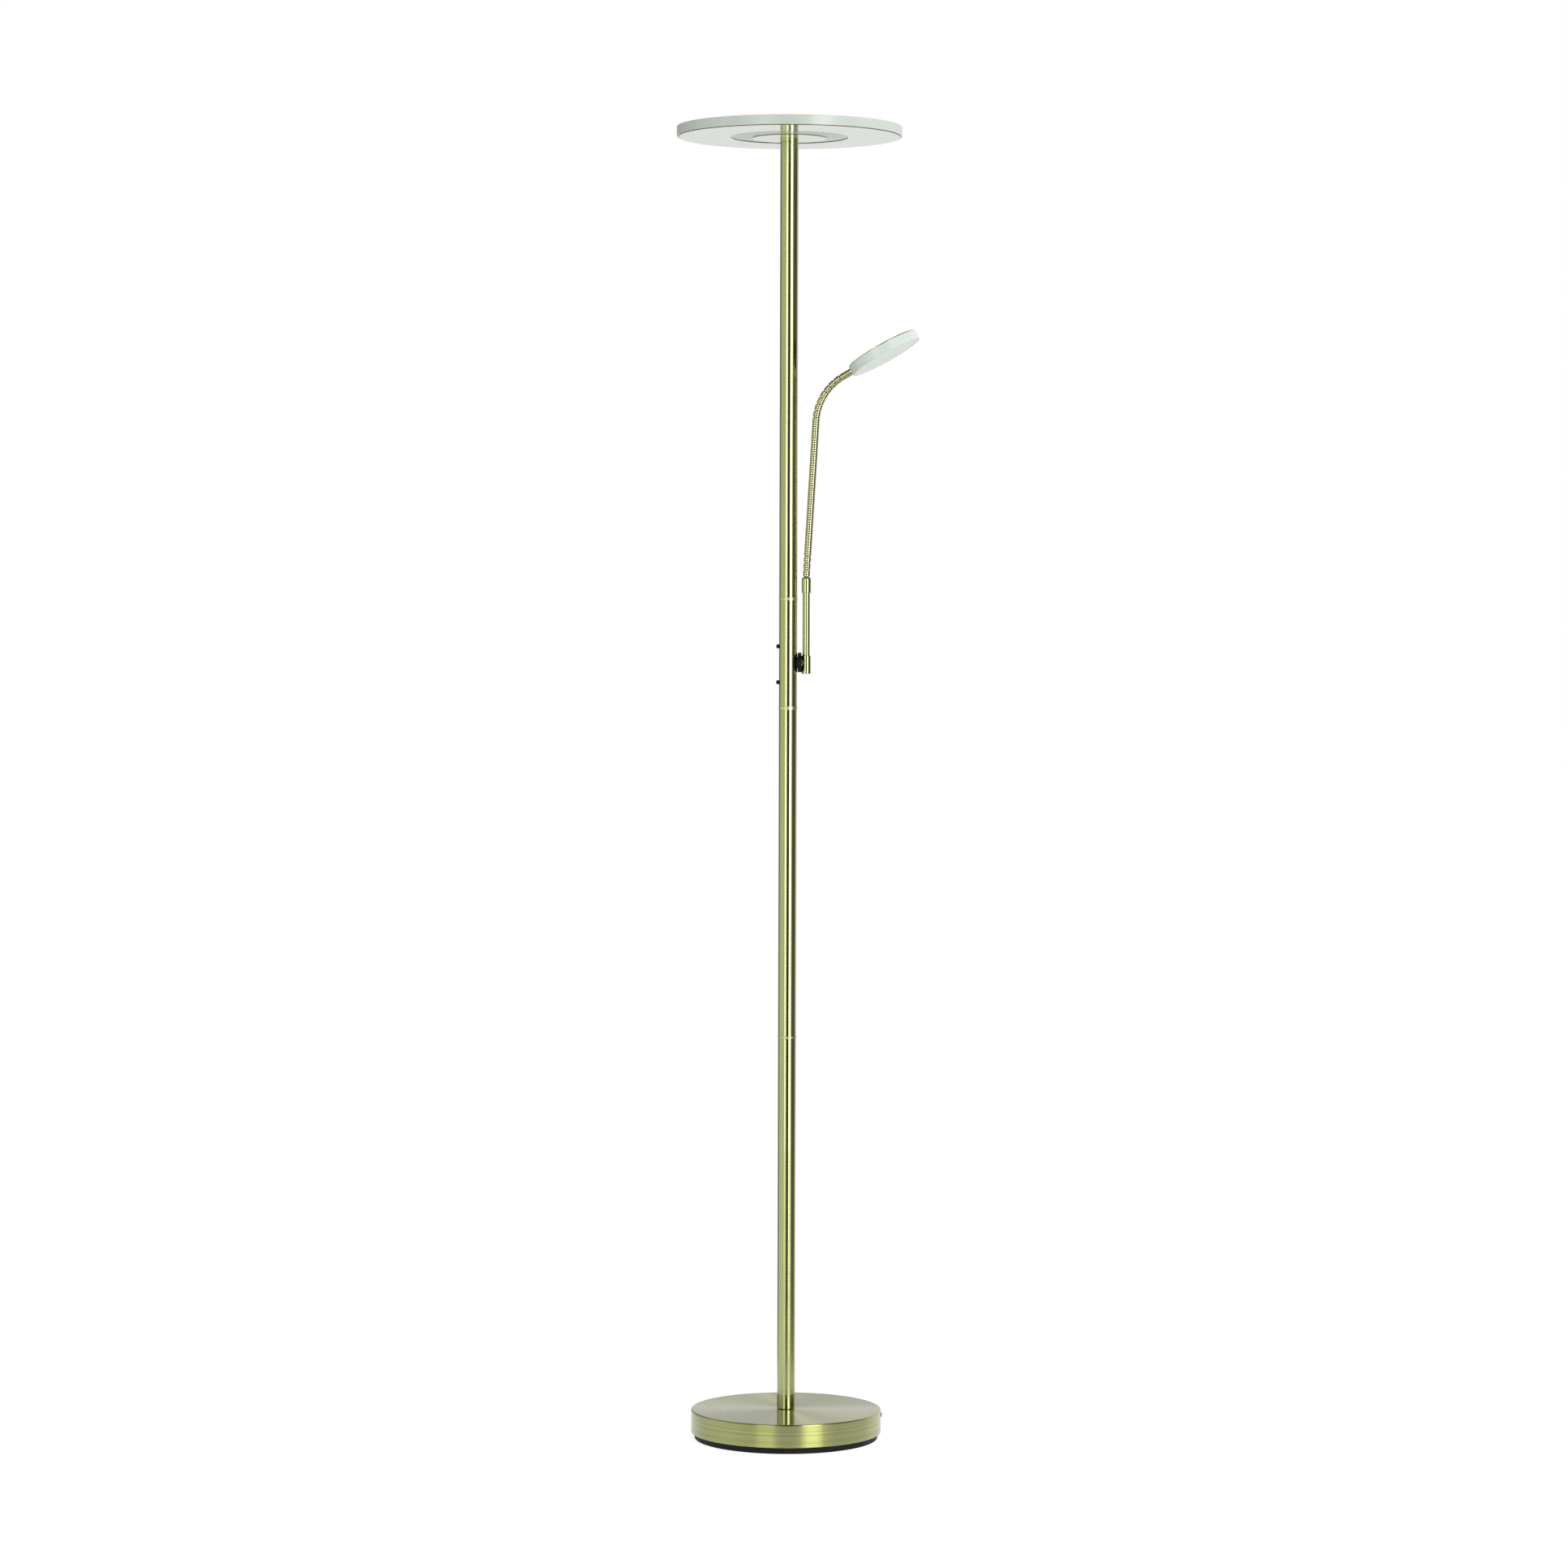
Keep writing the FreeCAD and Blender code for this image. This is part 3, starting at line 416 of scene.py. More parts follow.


# pale satin coat of both heads, with a faint orange peel; the main head's copy is painted darker as shade, and the
# reading head's lighter as painted light
def satinCoat(name, look=headSatinPaintedShade):
    finish = Finish(name)
    patches = finish.patches(look["patchSize"]).between(0.3, 0.7)
    peel = finish.patches(look["peelSize"], 1.0)
    rough = look["smoothest"] + patches * look["patchRough"]
    return finish.close(
        patches.tint(look["shade"], look["light"]), rough, peel, look["peelDepth"],
        Coat_Roughness=look["clearCoatRoughness"], Coat_Weight=look["clearCoat"],
        Specular_IOR_Level=look["shine"],
    )


panMirror = {
    "light": (0.88, 0.95, 0.82, 1),
    "shade": (0.85, 0.92, 0.79, 1),
    "slope": (0.43, 0.47, 0.38, 1),
    "patchSize": 60,
    "metal": 0.55,
    "slopeEdges": (51, 80),
    "slopeFade": 0.1,
    # painted shade for the creases: the seam to the rim and the dish's two steps
    "creaseShade": (0.06, 0.055, 0.03, 1),
    "shadedCreases": (51.05, 79.95, 151.4),
    "creaseWidth": 0.25,
    "smoothest": 0.07,
    "spinSpacing": 0.6,
    "spinRough": 0.04,
    "spinDepth": 0.0002,
}


# The pan is spun metal under a thin coat, and mirrors the pole. It is duller on the dish's slope, and painted dark
# in the creases as shade: in the seam to the rim and at the dish's steps.
def spunPan(name, look=panMirror):
    finish = Finish(name)
    radius = finish.fromAxis() / mm
    turning = (radius / look["spinSpacing"]).streaks()
    tone = finish.patches(look["patchSize"]).between(0.3, 0.7).tint(look["shade"], look["light"])
    fade = look["slopeFade"]
    pastInner, pastOuter = [radius.between(edge - fade, edge + fade) for edge in look["slopeEdges"]]
    slope = pastInner * (1 - pastOuter)
    tone = slope.tint(tone, look["slope"])
    # painted shade in each crease, where the metal also stops
    for creaseShade in look["shadedCreases"]:
        outsideCreaseShade = radius.off(creaseShade).between(look["creaseWidth"] * 0.6, look["creaseWidth"])
        tone = outsideCreaseShade.tint(look["creaseShade"], tone)
        slope = 1 - (1 - slope) * outsideCreaseShade
    rough = look["smoothest"] + turning * look["spinRough"]
    metal = (1 - slope) * look["metal"]
    return finish.close(tone, rough, turning, look["spinDepth"], Metallic=metal)


blackMoulding = {
    "black": (0.004, 0.005, 0.004, 1),
    "grey": (0.011, 0.012, 0.011, 1),
    "grainSize": 0.45,
    "grainDepth": 0.01,
    "grainRough": 0.1,
    "scuffSize": 8,
    "scuffRough": 0.15,
    "shine": 0.25,
}


def mouldedBlack(name, smoothest, look=blackMoulding):
    finish = Finish(name)
    grain = finish.patches(look["grainSize"])
    scuffs = finish.patches(look["scuffSize"], 4.0)
    rough = smoothest + grain * look["grainRough"] + scuffs.between(0.5, 0.75) * look["scuffRough"]
    tone = scuffs.between(0.45, 0.8).tint(look["black"], look["grey"])
    return finish.close(tone, rough, grain, look["grainDepth"], Specular_IOR_Level=look["shine"])


opalLens = {
    "clear": (0.70, 0.77, 0.70, 1),
    "milky": (0.74, 0.81, 0.74, 1),
    "cloudSize": 35,
    "frostSize": 0.5,
    "frostDepth": 0.001,
    "smoothest": 0.3,
    "frostRough": 0.12,
    "clearCoat": 0.1,
}


def opalGlass(name, look=opalLens):
    finish = Finish(name)
    tone = finish.patches(look["cloudSize"]).between(0.3, 0.7).tint(look["clear"], look["milky"])
    frost = finish.patches(look["frostSize"])
    rough = look["smoothest"] + frost * look["frostRough"]
    return finish.close(tone, rough, frost, look["frostDepth"], Coat_Weight=look["clearCoat"])


# The finishes of the inside start here. Each one's tone goes between two colours.
weightIron = {
    "dark": (0.10, 0.10, 0.10, 1),
    "light": (0.17, 0.165, 0.155, 1),
    "stainSize": 30,
    "skinSize": 1.4,
    "skinDepth": 0.25,
    "smoothest": 0.55,
    "skinRough": 0.2,
    "metal": 0.3,
}


# grey painted iron as cast, with a coarse skin
def castIron(name, look=weightIron):
    finish = Finish(name)
    skin = finish.patches(look["skinSize"], 5.0)
    stains = finish.patches(look["stainSize"], 3.0).between(0.35, 0.65)
    rough = look["smoothest"] + skin * look["skinRough"]
    tone = stains.tint(look["dark"], look["light"])
    return finish.close(tone, rough, skin, look["skinDepth"], Metallic=look["metal"])


fastenerZinc = {
    "dark": (0.50, 0.51, 0.53, 1),
    "light": (0.66, 0.67, 0.66, 1),
    "hazeSize": 4,
    "spanglesPerMetre": 450.0,
    "spangleDepth": 0.01,
    "smoothest": 0.28,
    "spangleRough": 0.2,
}


def zincPlate(name, look=fastenerZinc):
    finish = Finish(name)
    cells = {"Vector": finish.place, "Scale": look["spanglesPerMetre"]}
    spangle = finish.wire.node("ShaderNodeTexVoronoi", cells, output="Distance")
    tone = finish.patches(look["hazeSize"]).between(0.35, 0.65).tint(look["dark"], look["light"])
    rough = look["smoothest"] + spangle * look["spangleRough"]
    return finish.close(tone, rough, spangle, look["spangleDepth"], Metallic=1.0)


plateSheet = {
    "dark": (0.62, 0.63, 0.64, 1),
    "light": (0.76, 0.77, 0.78, 1),
    "rollSpacing": 0.5,
    "rollDepth": 0.01,
    "hazeSize": 20,
    "smoothest": 0.25,
    "hazeRough": 0.15,
}


def rolledSheet(name, look=plateSheet):
    finish = Finish(name)
    rolling = (finish.x / mm / look["rollSpacing"]).streaks(4.0)
    tone = rolling.between(0.3, 0.7).tint(look["dark"], look["light"])
    rough = look["smoothest"] + finish.patches(look["hazeSize"]) * look["hazeRough"]
    return finish.close(tone, rough, rolling, look["rollDepth"], Metallic=1.0)


whiteBoard = {
    "lacquer": (0.80, 0.81, 0.77, 1),
    "path": (0.68, 0.71, 0.63, 1),
    "pathsPerMetre": 90.0,
    "pathWidth": 0.03,
    "pathDepth": 0.03,
    "weaveSize": 0.8,
    "smoothest": 0.35,
    "weaveRough": 0.1,
}


# white board lacquer with faint paths under it
def boardLacquer(name, look=whiteBoard):
    finish = Finish(name)
    white, black = (1, 1, 1, 1), (0, 0, 0, 1)
    paths = finish.wire.node("ShaderNodeTexBrick", {
        "Vector": finish.place, "Scale": look["pathsPerMetre"], "Mortar Size": look["pathWidth"],
        "Color1": white, "Color2": white, "Mortar": black,
    }, output="Fac")
    weave = finish.patches(look["weaveSize"])
    rough = look["smoothest"] + weave * look["weaveRough"]
    relief = paths + weave * 0.2
    return finish.close(paths.tint(look["lacquer"], look["path"]), rough, relief, look["pathDepth"])


driverHousing = {
    "dark": (0.05, 0.052, 0.055, 1),
    "light": (0.085, 0.085, 0.09, 1),
    "hazeSize": 18,
    "grainSize": 0.6,
    "grainDepth": 0.04,
    "smoothest": 0.45,
    "grainRough": 0.15,
}


def darkHousing(name, look=driverHousing):
    finish = Finish(name)
    grain = finish.patches(look["grainSize"], 3.0)
    tone = finish.patches(look["hazeSize"]).between(0.3, 0.7).tint(look["dark"], look["light"])
    rough = look["smoothest"] + grain * look["grainRough"]
    return finish.close(tone, rough, grain, look["grainDepth"])


leadSheath = {
    "dark": (0.014, 0.014, 0.014, 1),
    "light": (0.035, 0.035, 0.034, 1),
    "bloomSize": 12,
    "dragSpacing": 3,
    "dragDepth": 0.02,
    "smoothest": 0.45,
    "dragRough": 0.15,
}


def cableSheath(name, look=leadSheath):
    finish = Finish(name)
    drag = (finish.z / mm / look["dragSpacing"]).streaks(4.0)
    tone = finish.patches(look["bloomSize"]).between(0.4, 0.7).tint(look["dark"], look["light"])
    rough = look["smoothest"] + drag * look["dragRough"]
    return finish.close(tone, rough, drag, look["dragDepth"])


armLow, armHigh = extent("arm_tube")
armCentre = (armLow + armHigh) / 2
armAxis = Matrix.Translation((armCentre.x * mm, armCentre.y * mm, 0))
poleBrass = brushedBrass("brushed_brass")
baseBrass = brushedBrass("brushed_drum", look=drumBrass)
armBrass = brushedBrass("brushed_brass_arm", (armCentre.x, armCentre.y, 0))
ringMetal = polishedBrass("polished_ring")
neckMetal = woundBrass("wound_neck")
shadedHeadCoat = satinCoat("head_satin_painted_shade")
litReadingCoat = satinCoat("reading_satin_painted_light", readingSatinPaintedLight)
panCoat = spunPan("pan_mirror")
footBlack = mouldedBlack("foot_black", 0.5)
pivotBlack = mouldedBlack("pivot_black", 0.38)
buttonBlack = mouldedBlack("button_black", 0.22)
opal = opalGlass("opal")
print("materials made")


base = {
    "steps": 160,
    "coverWall": 1.2,
    "coverRound": 2,
    "lipRound": 0.55,
    "holeRadius": 5.15,
    "footRound": 1.6,
    "footFloor": 3,
    "footWall": 2.5,
    "footInset": 4,
    "footTaper": 1,
    "lipGap": 0.3,
    "lipHeight": 3,
    "bushHoleRadius": 3,
    "bushHoleStart": 10,
    "drillLength": 20,
}


def buildBase():
    coverLow, coverHigh = extent("base_cover")
    radius, top, foot = coverHigh.x, coverHigh.z, coverLow.z
    wall = base["coverWall"]
    cover = turnOnLathe("base_cover_drum", [
        (base["holeRadius"], top),
        (radius, top, base["coverRound"]),
        (radius, foot, base["lipRound"]),
        (radius - wall, foot, base["lipRound"]),
        (radius - wall, top - wall, base["coverRound"] - 1),
        (base["holeRadius"], top - wall),
    ], base["steps"])
    drill = turnRod("bush_drill", base["bushHoleRadius"], base["drillLength"])
    setInPlace(drill, lyingAt(radius - base["bushHoleStart"], middleHeight("cord_bush")))
    combine(cover, drill, "DIFFERENCE")
    deliver(cover, baseBrass, "base_cover")

    edge = radius - base["footInset"]
    lip = radius - wall - base["lipGap"]
    inside = edge - base["footWall"]
    tray = turnOnLathe("foot_tray", [
        (0, 0),
        (edge - base["footTaper"], 0, base["footRound"]),
        (edge, foot - 0.4, 0.5),
        (edge - 0.6, foot, 0.2),
        (lip, foot),
        (lip, foot + base["lipHeight"], 0.3),
        (inside, foot + base["lipHeight"], 0.3),
        (inside, base["footFloor"]),
        (0, base["footFloor"]),
    ], base["steps"])
    deliver(tray, footBlack, "foot_pad")


bush = {
    "steps": 48,
    "bore": 2.3,
    "neck": 2.9,
    "flange": 3.3,
    "collar": 3.8,
    "proud": 1,
    "wallBehind": 1.3,
    "collarLength": 2,
}


def buildBush():
    behind = -bush["wallBehind"]
    end = behind - bush["collarLength"]
    piece = turnOnLathe("cord_bush_moulded", [
        (bush["bore"], bush["proud"], 0.35),
        (bush["flange"], bush["proud"], 0.6),
        (bush["flange"], 0, 0.1),
        (bush["neck"], 0),
        (bush["neck"], behind),
        (bush["collar"], behind, 0.2),
        (bush["neck"], end, 0.2),
        (bush["bore"], end, 0.2),
    ], bush["steps"])
    drumEdge = extent("cord_bush")[1].x - bush["proud"]
    setInPlace(piece, lyingAt(drumEdge, middleHeight("cord_bush")))
    deliver(piece, footBlack, "cord_bush")


pole = {
    "wall": 1.2,
    "endRound": 0.3,
    "footRound": 1.6,
    "stubFit": 0.05,
    "stubWall": 2.5,
    "stubRound": 0.5,
    "ringRound": 0.3,
    "holeFit": 0.12,
    "drillLength": 20,
}
poleRadius = extent("pole_lower")[1].x
poleBore = poleRadius - pole["wall"]


def buildTube(node):
    low, high = extent(node)
    return turnOnLathe(node + "_tube", [
        (poleBore, low.z),
        (poleRadius, low.z, pole["footRound"] if node == "pole_lower" else pole["endRound"]),
        (poleRadius, high.z, pole["endRound"]),
        (poleBore, high.z),
    ])


# a hole through the wall, along X from the pole's axis
def drillSide(piece, radius, height, side):
    drill = turnRod("side_drill", radius, pole["drillLength"])
    combine(piece, setInPlace(drill, lyingAt(0, height, side)), "DIFFERENCE")


def buildPole():
    for node in ("pole_lower", "pole_middle", "pole_upper"):
        deliver(buildTube(node), poleBrass, node)
    control = buildTube("control_tube")
    for node in ("button_upper", "button_lower"):
        drillSide(control, button["radius"] + pole["holeFit"], middleHeight(node), -1)
    drillSide(control, pivot["boreRadius"], middleHeight("pivot_stud"), 1)
    deliver(control, poleBrass, "control_tube")


# Two stubs, and the bright ring that stays in view between two tubes.
def buildCoupler(node, below, above):
    ringFoot, ringTop = extent(below)[1].z, extent(above)[0].z
    low, high = extent(node)
    stub = poleBore - pole["stubFit"]
    hollow = stub - pole["stubWall"]
    piece = turnOnLathe(node + "_ring", [
        (hollow, low.z, pole["stubRound"]),
        (stub, low.z, pole["stubRound"]),
        (stub, ringFoot),
        (high.x, ringFoot, pole["ringRound"]),
        (high.x, ringTop, pole["ringRound"]),
        (stub, ringTop),
        (stub, high.z, pole["stubRound"]),
        (hollow, high.z, pole["stubRound"]),
    ])
    deliver(piece, ringMetal, node)


button = {
    "steps": 48,
    "radius": 2.8,
    "dome": 1.2,
    "domeRound": 0.8,
    "round": 0.72,
    "flange": 3.6,
    "flangeThickness": 0.8,
    "stem": 1.5,
}


def buildButton(node):
    low, high = extent(node)
    face, stemEnd = -low.x, -high.x
    flangeFace = math.sqrt(poleBore ** 2 - button["flange"] ** 2) - 2 * pole["holeFit"]
    flangeBack = flangeFace - button["flangeThickness"]
    piece = turnOnLathe(node + "_cap", [
        (0, stemEnd),
        (button["stem"], stemEnd, 0.2),
        (button["stem"], flangeBack),
        (button["flange"], flangeBack),
        (button["flange"], flangeFace),
        (button["radius"], flangeFace),
        (button["radius"], face - 0.35, button["round"]),
        (button["radius"] - button["dome"], face - 0.05, button["domeRound"]),
        (0, face),
    ], button["steps"])
    setInPlace(piece, lyingAt(0, middleHeight(node), -1))
    deliver(piece, buttonBlack, node)


pivot = {
    "boreRadius": 4.06,
    "discRadius": 13,
    "discRound": 0.7,
    "seamRound": 0.3,
    "bossRadius": 8,
    "bossStart": 5,
    "standOff": 0.4,
    "saddleThickness": 4,
    "rotorThickness": 1.9,
    "hornHalfWidth": 1.6,
    "hornRise": 1.3,
    "hornRoot": 6,
    "hornBevel": 0.35,
    "saddleHornInset": 1.2,
    "rotorHornInset": 0.3,
    "coreReach": 20,
}


def buildPivot():
    height = middleHeight("pivot_stud")
    lying = lyingAt(0, height)
    bore, rim = pivot["boreRadius"], pivot["discRadius"]
    face = poleRadius + pivot["standOff"]
    seam = poleRadius + pivot["saddleThickness"]
    outer = seam + pivot["rotorThickness"]
    horn = pivot["hornHalfWidth"]
    hornRoot = height + pivot["hornRoot"]
    hornTop = height + (rim + pivot["hornRise"])
    saddle = setInPlace(turnOnLathe("pivot_saddle_disc", [
        (bore, pivot["bossStart"]),
        (pivot["bossRadius"], pivot["bossStart"]),
        (pivot["bossRadius"], face),
        (rim, face, pivot["discRound"]),
        (rim, seam, pivot["seamRound"]),
        (bore, seam),
    ]), lying)
    inner = face + pivot["saddleHornInset"]
    lug = shapeBlock("saddle_lug", (inner, -horn, hornRoot), (seam, horn, hornTop), pivot["hornBevel"])
    combine(saddle, lug, "UNION")
    below, above = height - pivot["coreReach"], height + pivot["coreReach"]
    core = turnOnLathe("pole_core", [(0, below), (poleRadius, below), (poleRadius, above), (0, above)])
    combine(saddle, core, "DIFFERENCE")
    deliver(saddle, pivotBlack, "pivot_saddle")

    rotor = setInPlace(turnOnLathe("pivot_rotor_disc", [
        (bore, seam),
        (rim, seam, pivot["seamRound"]),
        (rim, outer, pivot["discRound"]),
        (bore, outer),
    ]), lying)
    inner = seam + pivot["rotorHornInset"]
    lug = shapeBlock("rotor_lug", (inner, -horn, hornRoot), (outer, horn, hornTop), pivot["hornBevel"])
    combine(rotor, lug, "UNION")
    deliver(rotor, pivotBlack, "pivot_rotor")


arm = {
    "steps": 64,
    "tubeRadius": 5,
    "tubeWall": 1,
    "tubeRound": 0.2,
    "tubeFit": 0.05,
    "socketRound": 0.7,
    "socketFloor": 6,
    "bossRadius": 5.5,
    "bossShort": 5.2,
    "grubRadius": 2,
    "grubDrillLength": 12,
}


def buildArm():
    low, high = extent("arm_tube")
    radius = arm["tubeRadius"]
    tube = turnOnLathe("arm_tube_round", [
        (radius - arm["tubeWall"], low.z),
        (radius, low.z, arm["tubeRound"]),
        (radius, high.z, arm["tubeRound"]),
        (radius - arm["tubeWall"], high.z),
    ], arm["steps"])
    deliver(setInPlace(tube, armAxis), armBrass, "arm_tube")

    low, high = extent("arm_socket")
    radius = high.x - armCentre.x
    bore = arm["tubeRadius"] + arm["tubeFit"]
    barrel = turnOnLathe("arm_socket_barrel", [
        (0, low.z),
        (radius, low.z, arm["socketRound"]),
        (radius, high.z, arm["socketRound"]),
        (bore, high.z, 0.25),
        (bore, low.z + arm["socketFloor"]),
        (0, low.z + arm["socketFloor"]),
    ], arm["steps"])
    setInPlace(barrel, armAxis)
    boss = turnRod("socket_boss", arm["bossRadius"], radius - arm["bossShort"], arm["steps"])
    setInPlace(boss, lyingAt(armCentre.x - radius, middleHeight("pivot_stud")))
    combine(barrel, boss, "UNION")
    drill = turnRod("grub_drill", arm["grubRadius"], arm["grubDrillLength"])
    side = 1 if extent("grub_screw")[0].y < 0 else -1
    spot = Matrix.Translation((armCentre.x * mm, 0, middleHeight("grub_screw") * mm))
    setInPlace(drill, spot @ Matrix.Rotation(side * quarterTurn, 4, "X"))
    combine(barrel, drill, "DIFFERENCE")
    deliver(barrel, armBrass, "arm_socket")


neck = {
    "steps": 48,
    "crest": 5,
    "groove": 4.15,
    "ribPitch": 3.1,
    "ribShoulder": 0.35,
    "crestRound": 0.35,
    "endSlope": 0.126,
    "dish": 0.7,
    "ballRadius": 3.2,
    "ballRoundness": 0.98,
    "socketRadius": 3.45,
    "socketDepth": 4.6,
    "tipCollar": 3.1,
    "tipOverlap": 0.4,
    "ferruleRound": 0.8,
    "ferruleTaper": 1.8,
    "ferruleBore": 2.5,
    "ferruleStop": 11,
}
neckJoints = ["neck_lean", "neck_sway", "neck_lean_2", "neck_sway_2"]
neckJoints += [f"neck_bend_{n}" for n in range(1, 9)]
hinges = [Vector(joints[name]["pos_m"]) for name in neckJoints]
bendAxis = Vector(joints["neck_bend_1"]["axis"]).normalized()
lastRun = (hinges[-1] - hinges[-2]).normalized()
bendStep = (hinges[-2] - hinges[-3]).angle(lastRun)
headRun = Quaternion(bendAxis, bendStep) @ lastRun


# a matrix whose Z points along a run of the neck and whose Y is the bend's axis
def alongRun(start, run):
    across = bendAxis.cross(run).normalized()
    sideways = run.cross(across)
    turned = Matrix((across, sideways, run)).transposed().to_4x4()
    return Matrix.Translation(start) @ turned


# A stretch of windings from one hinge to the next. A ball at its foot sits in the stretch
# before it, so that no gap opens when the neck bends, and its ends slope away from the hinge,
# so that they clear the next stretch.
def wind(name, length, plainEnd=0):
    ribs = round((length - plainEnd) / neck["ribPitch"])
    pitch = (length - plainEnd) / ribs
    ball, dish, crest, groove = neck["ballRadius"], neck["dish"], neck["crest"], neck["groove"]
    edge, lip = crest * neck["endSlope"], groove * neck["endSlope"]
    outline = [(0, -ball), (ball, -ball, ball * neck["ballRoundness"]), (ball, dish), (groove, lip)]
    for number in range(ribs):
        foot = number * pitch + (neck["ribShoulder"] if number else edge)
        last = number == ribs - 1 and not plainEnd
        top = (number + 1) * pitch - (edge if last else neck["ribShoulder"])
        outline += [(crest, foot, neck["crestRound"]), (crest, top, neck["crestRound"])]
        if number < ribs - 1:
            outline.append((groove, (number + 1) * pitch))
    if plainEnd:
        end = length + neck["tipOverlap"]
        outline += [(groove, length - plainEnd), (crest, length - plainEnd + 0.5, 0.3)]
        outline += [(crest, end), (0, end)]
    else:
        socket, floor = neck["socketRadius"], length - neck["socketDepth"]
        outline += [(groove, length - lip), (socket, length - dish), (socket, floor), (0, floor)]
    piece = turnOnLathe(name, outline, neck["steps"])
    markGrooves(piece)
    return piece


# stores how deep each point lies between the windings, as the finish's groove value
def markGrooves(piece):
    values = piece.data.attributes.new("groove", "FLOAT", "POINT")
    depth = (neck["crest"] - neck["groove"]) * mm
    for number, point in enumerate(piece.data.vertices):
        radius = math.hypot(point.co.x, point.co.y)
        values.data[number].value = min(1, max(0, (neck["crest"] * mm - radius) / depth))


def copyPiece(piece, name):
    hold(piece)
    bpy.ops.object.duplicate()
    copied = bpy.context.active_object
    copied.name = name
    return copied


# the short links are all alike, so they are wound once and copied
def buildNeck():
    names = [f"neck_root_link_{n}" for n in range(1, 4)] + ["neck_stem"]
    names += [f"neck_bend_link_{n}" for n in range(1, 8)]
    link = wind("neck_link", (hinges[1] - hinges[0]).length / mm)
    for node, start, end in zip(names, hinges, hinges[1:]):
        if node == "neck_stem":
            piece = wind(node + "_windings", (end - start).length / mm)
        else:
            piece = copyPiece(link, node + "_windings")
        setInPlace(piece, alongRun(start, (end - start).normalized()))
        deliver(piece, neckMetal, node)
    remove(link)
    toRim = (headCentre - hinges[-1]).length / mm - head["readingRadius"]
    tip = wind("neck_tip_windings", toRim, neck["tipCollar"])
    setInPlace(tip, alongRun(hinges[-1], headRun))
    deliver(tip, neckMetal, "neck_tip")


def buildFerrule():
    low, high = extent("neck_ferrule")
    radius, top = high.x - armCentre.x, high.z
    bore = arm["tubeRadius"] + arm["tubeFit"]
    floor = top - neck["socketDepth"] - 0.4
    ferrule = turnOnLathe("neck_ferrule_turned", [
        (bore, low.z, 0.2),
        (radius, low.z, neck["ferruleRound"]),
        (radius, top - neck["ferruleTaper"], neck["ferruleRound"]),
        (neck["crest"] + 0.1, top - 0.35, 0.4),
        (neck["socketRadius"], top - 0.15),
        (neck["socketRadius"], floor),
        (neck["ferruleBore"], floor),
        (neck["ferruleBore"], low.z + neck["ferruleStop"]),
        (bore, low.z + neck["ferruleStop"]),
    ], arm["steps"])
    setInPlace(ferrule, armAxis)
    deliver(ferrule, armBrass, "neck_ferrule")


head = {
    "steps": 128,
    "readingRadius": 51.5,
    "readingThickness": 14,
    "readingWall": 1.5,
    "readingBack": 1.2,
    "shellRound": 1.1,
    "backInset": 0.3,
    "backGroove": (5, 5.5, 6),
    "grooveDepth": 0.3,
    "lensInset": 0.4,
    "lensFit": 0.2,
    "lensThickness": 2,
}
shellLow, shellHigh = extent("reading_shell")
headBack = headRun.cross(bendAxis).normalized()
headCentre = (shellLow + shellHigh) / 2 * mm + headBack * head["readingBack"] / 2 * mm


def buildReadingHead():
    radius, half = head["readingRadius"], head["readingThickness"] / 2
    top = half - head["readingBack"]
    wall = head["readingWall"]
    place = Matrix((headRun, headBack.cross(headRun), headBack)).transposed().to_4x4()
    place = Matrix.Translation(headCentre) @ place
    shell = turnOnLathe("reading_shell_cup", [
        (0, top),
        (radius, top, 0.3),
        (radius, -half, head["shellRound"]),
        (radius - wall, -half, 0.35),
        (radius - wall, top - wall, 0.8),
        (0, top - wall),
    ], head["steps"])
    deliver(setInPlace(shell, place), litReadingCoat, "reading_shell")
    rim = radius - head["backInset"]
    outer, middle, inner = head["backGroove"]
    back = turnOnLathe("reading_back_plate", [
        (0, top),
        (rim, top, 0.15),
        (rim, half, 0.7),
        (rim - outer, half),
        (rim - middle, half - head["grooveDepth"]),
        (rim - inner, half),
        (0, half),
    ], head["steps"])
    backBrass = brushedBrass("brushed_brass_back", headCentre / mm)
    deliver(setInPlace(back, place), backBrass, "reading_back")
    edge = radius - wall - head["lensFit"]
    under = -half + head["lensInset"]
    lens = turnOnLathe("reading_lens_opal", [
        (0, under),
        (edge, under, 0.4),
        (edge, under + head["lensThickness"], 0.2),
        (0, under + head["lensThickness"]),
    ], head["steps"])
    deliver(setInPlace(lens, place), opal, "reading_lens")


disc = {
    "steps": 192,
    "rimWall": 2,
    "rimLedge": 2.5,
    "ledgeThickness": 1.5,
    "rimRound": 0.7,
    "rimLift": 0.8,
    "panThickness": 1.2,
    "panSeam": 0.6,
    "dishOuter": 80,
    "dishInner": 51,
    "dishStep": 0.7,
    "dishDrop": 1.8,
    "lensThickness": 3,
    "lensInset": 0.5,
    "lensFit": 0.3,
    "holeRadius": 5.15,
}


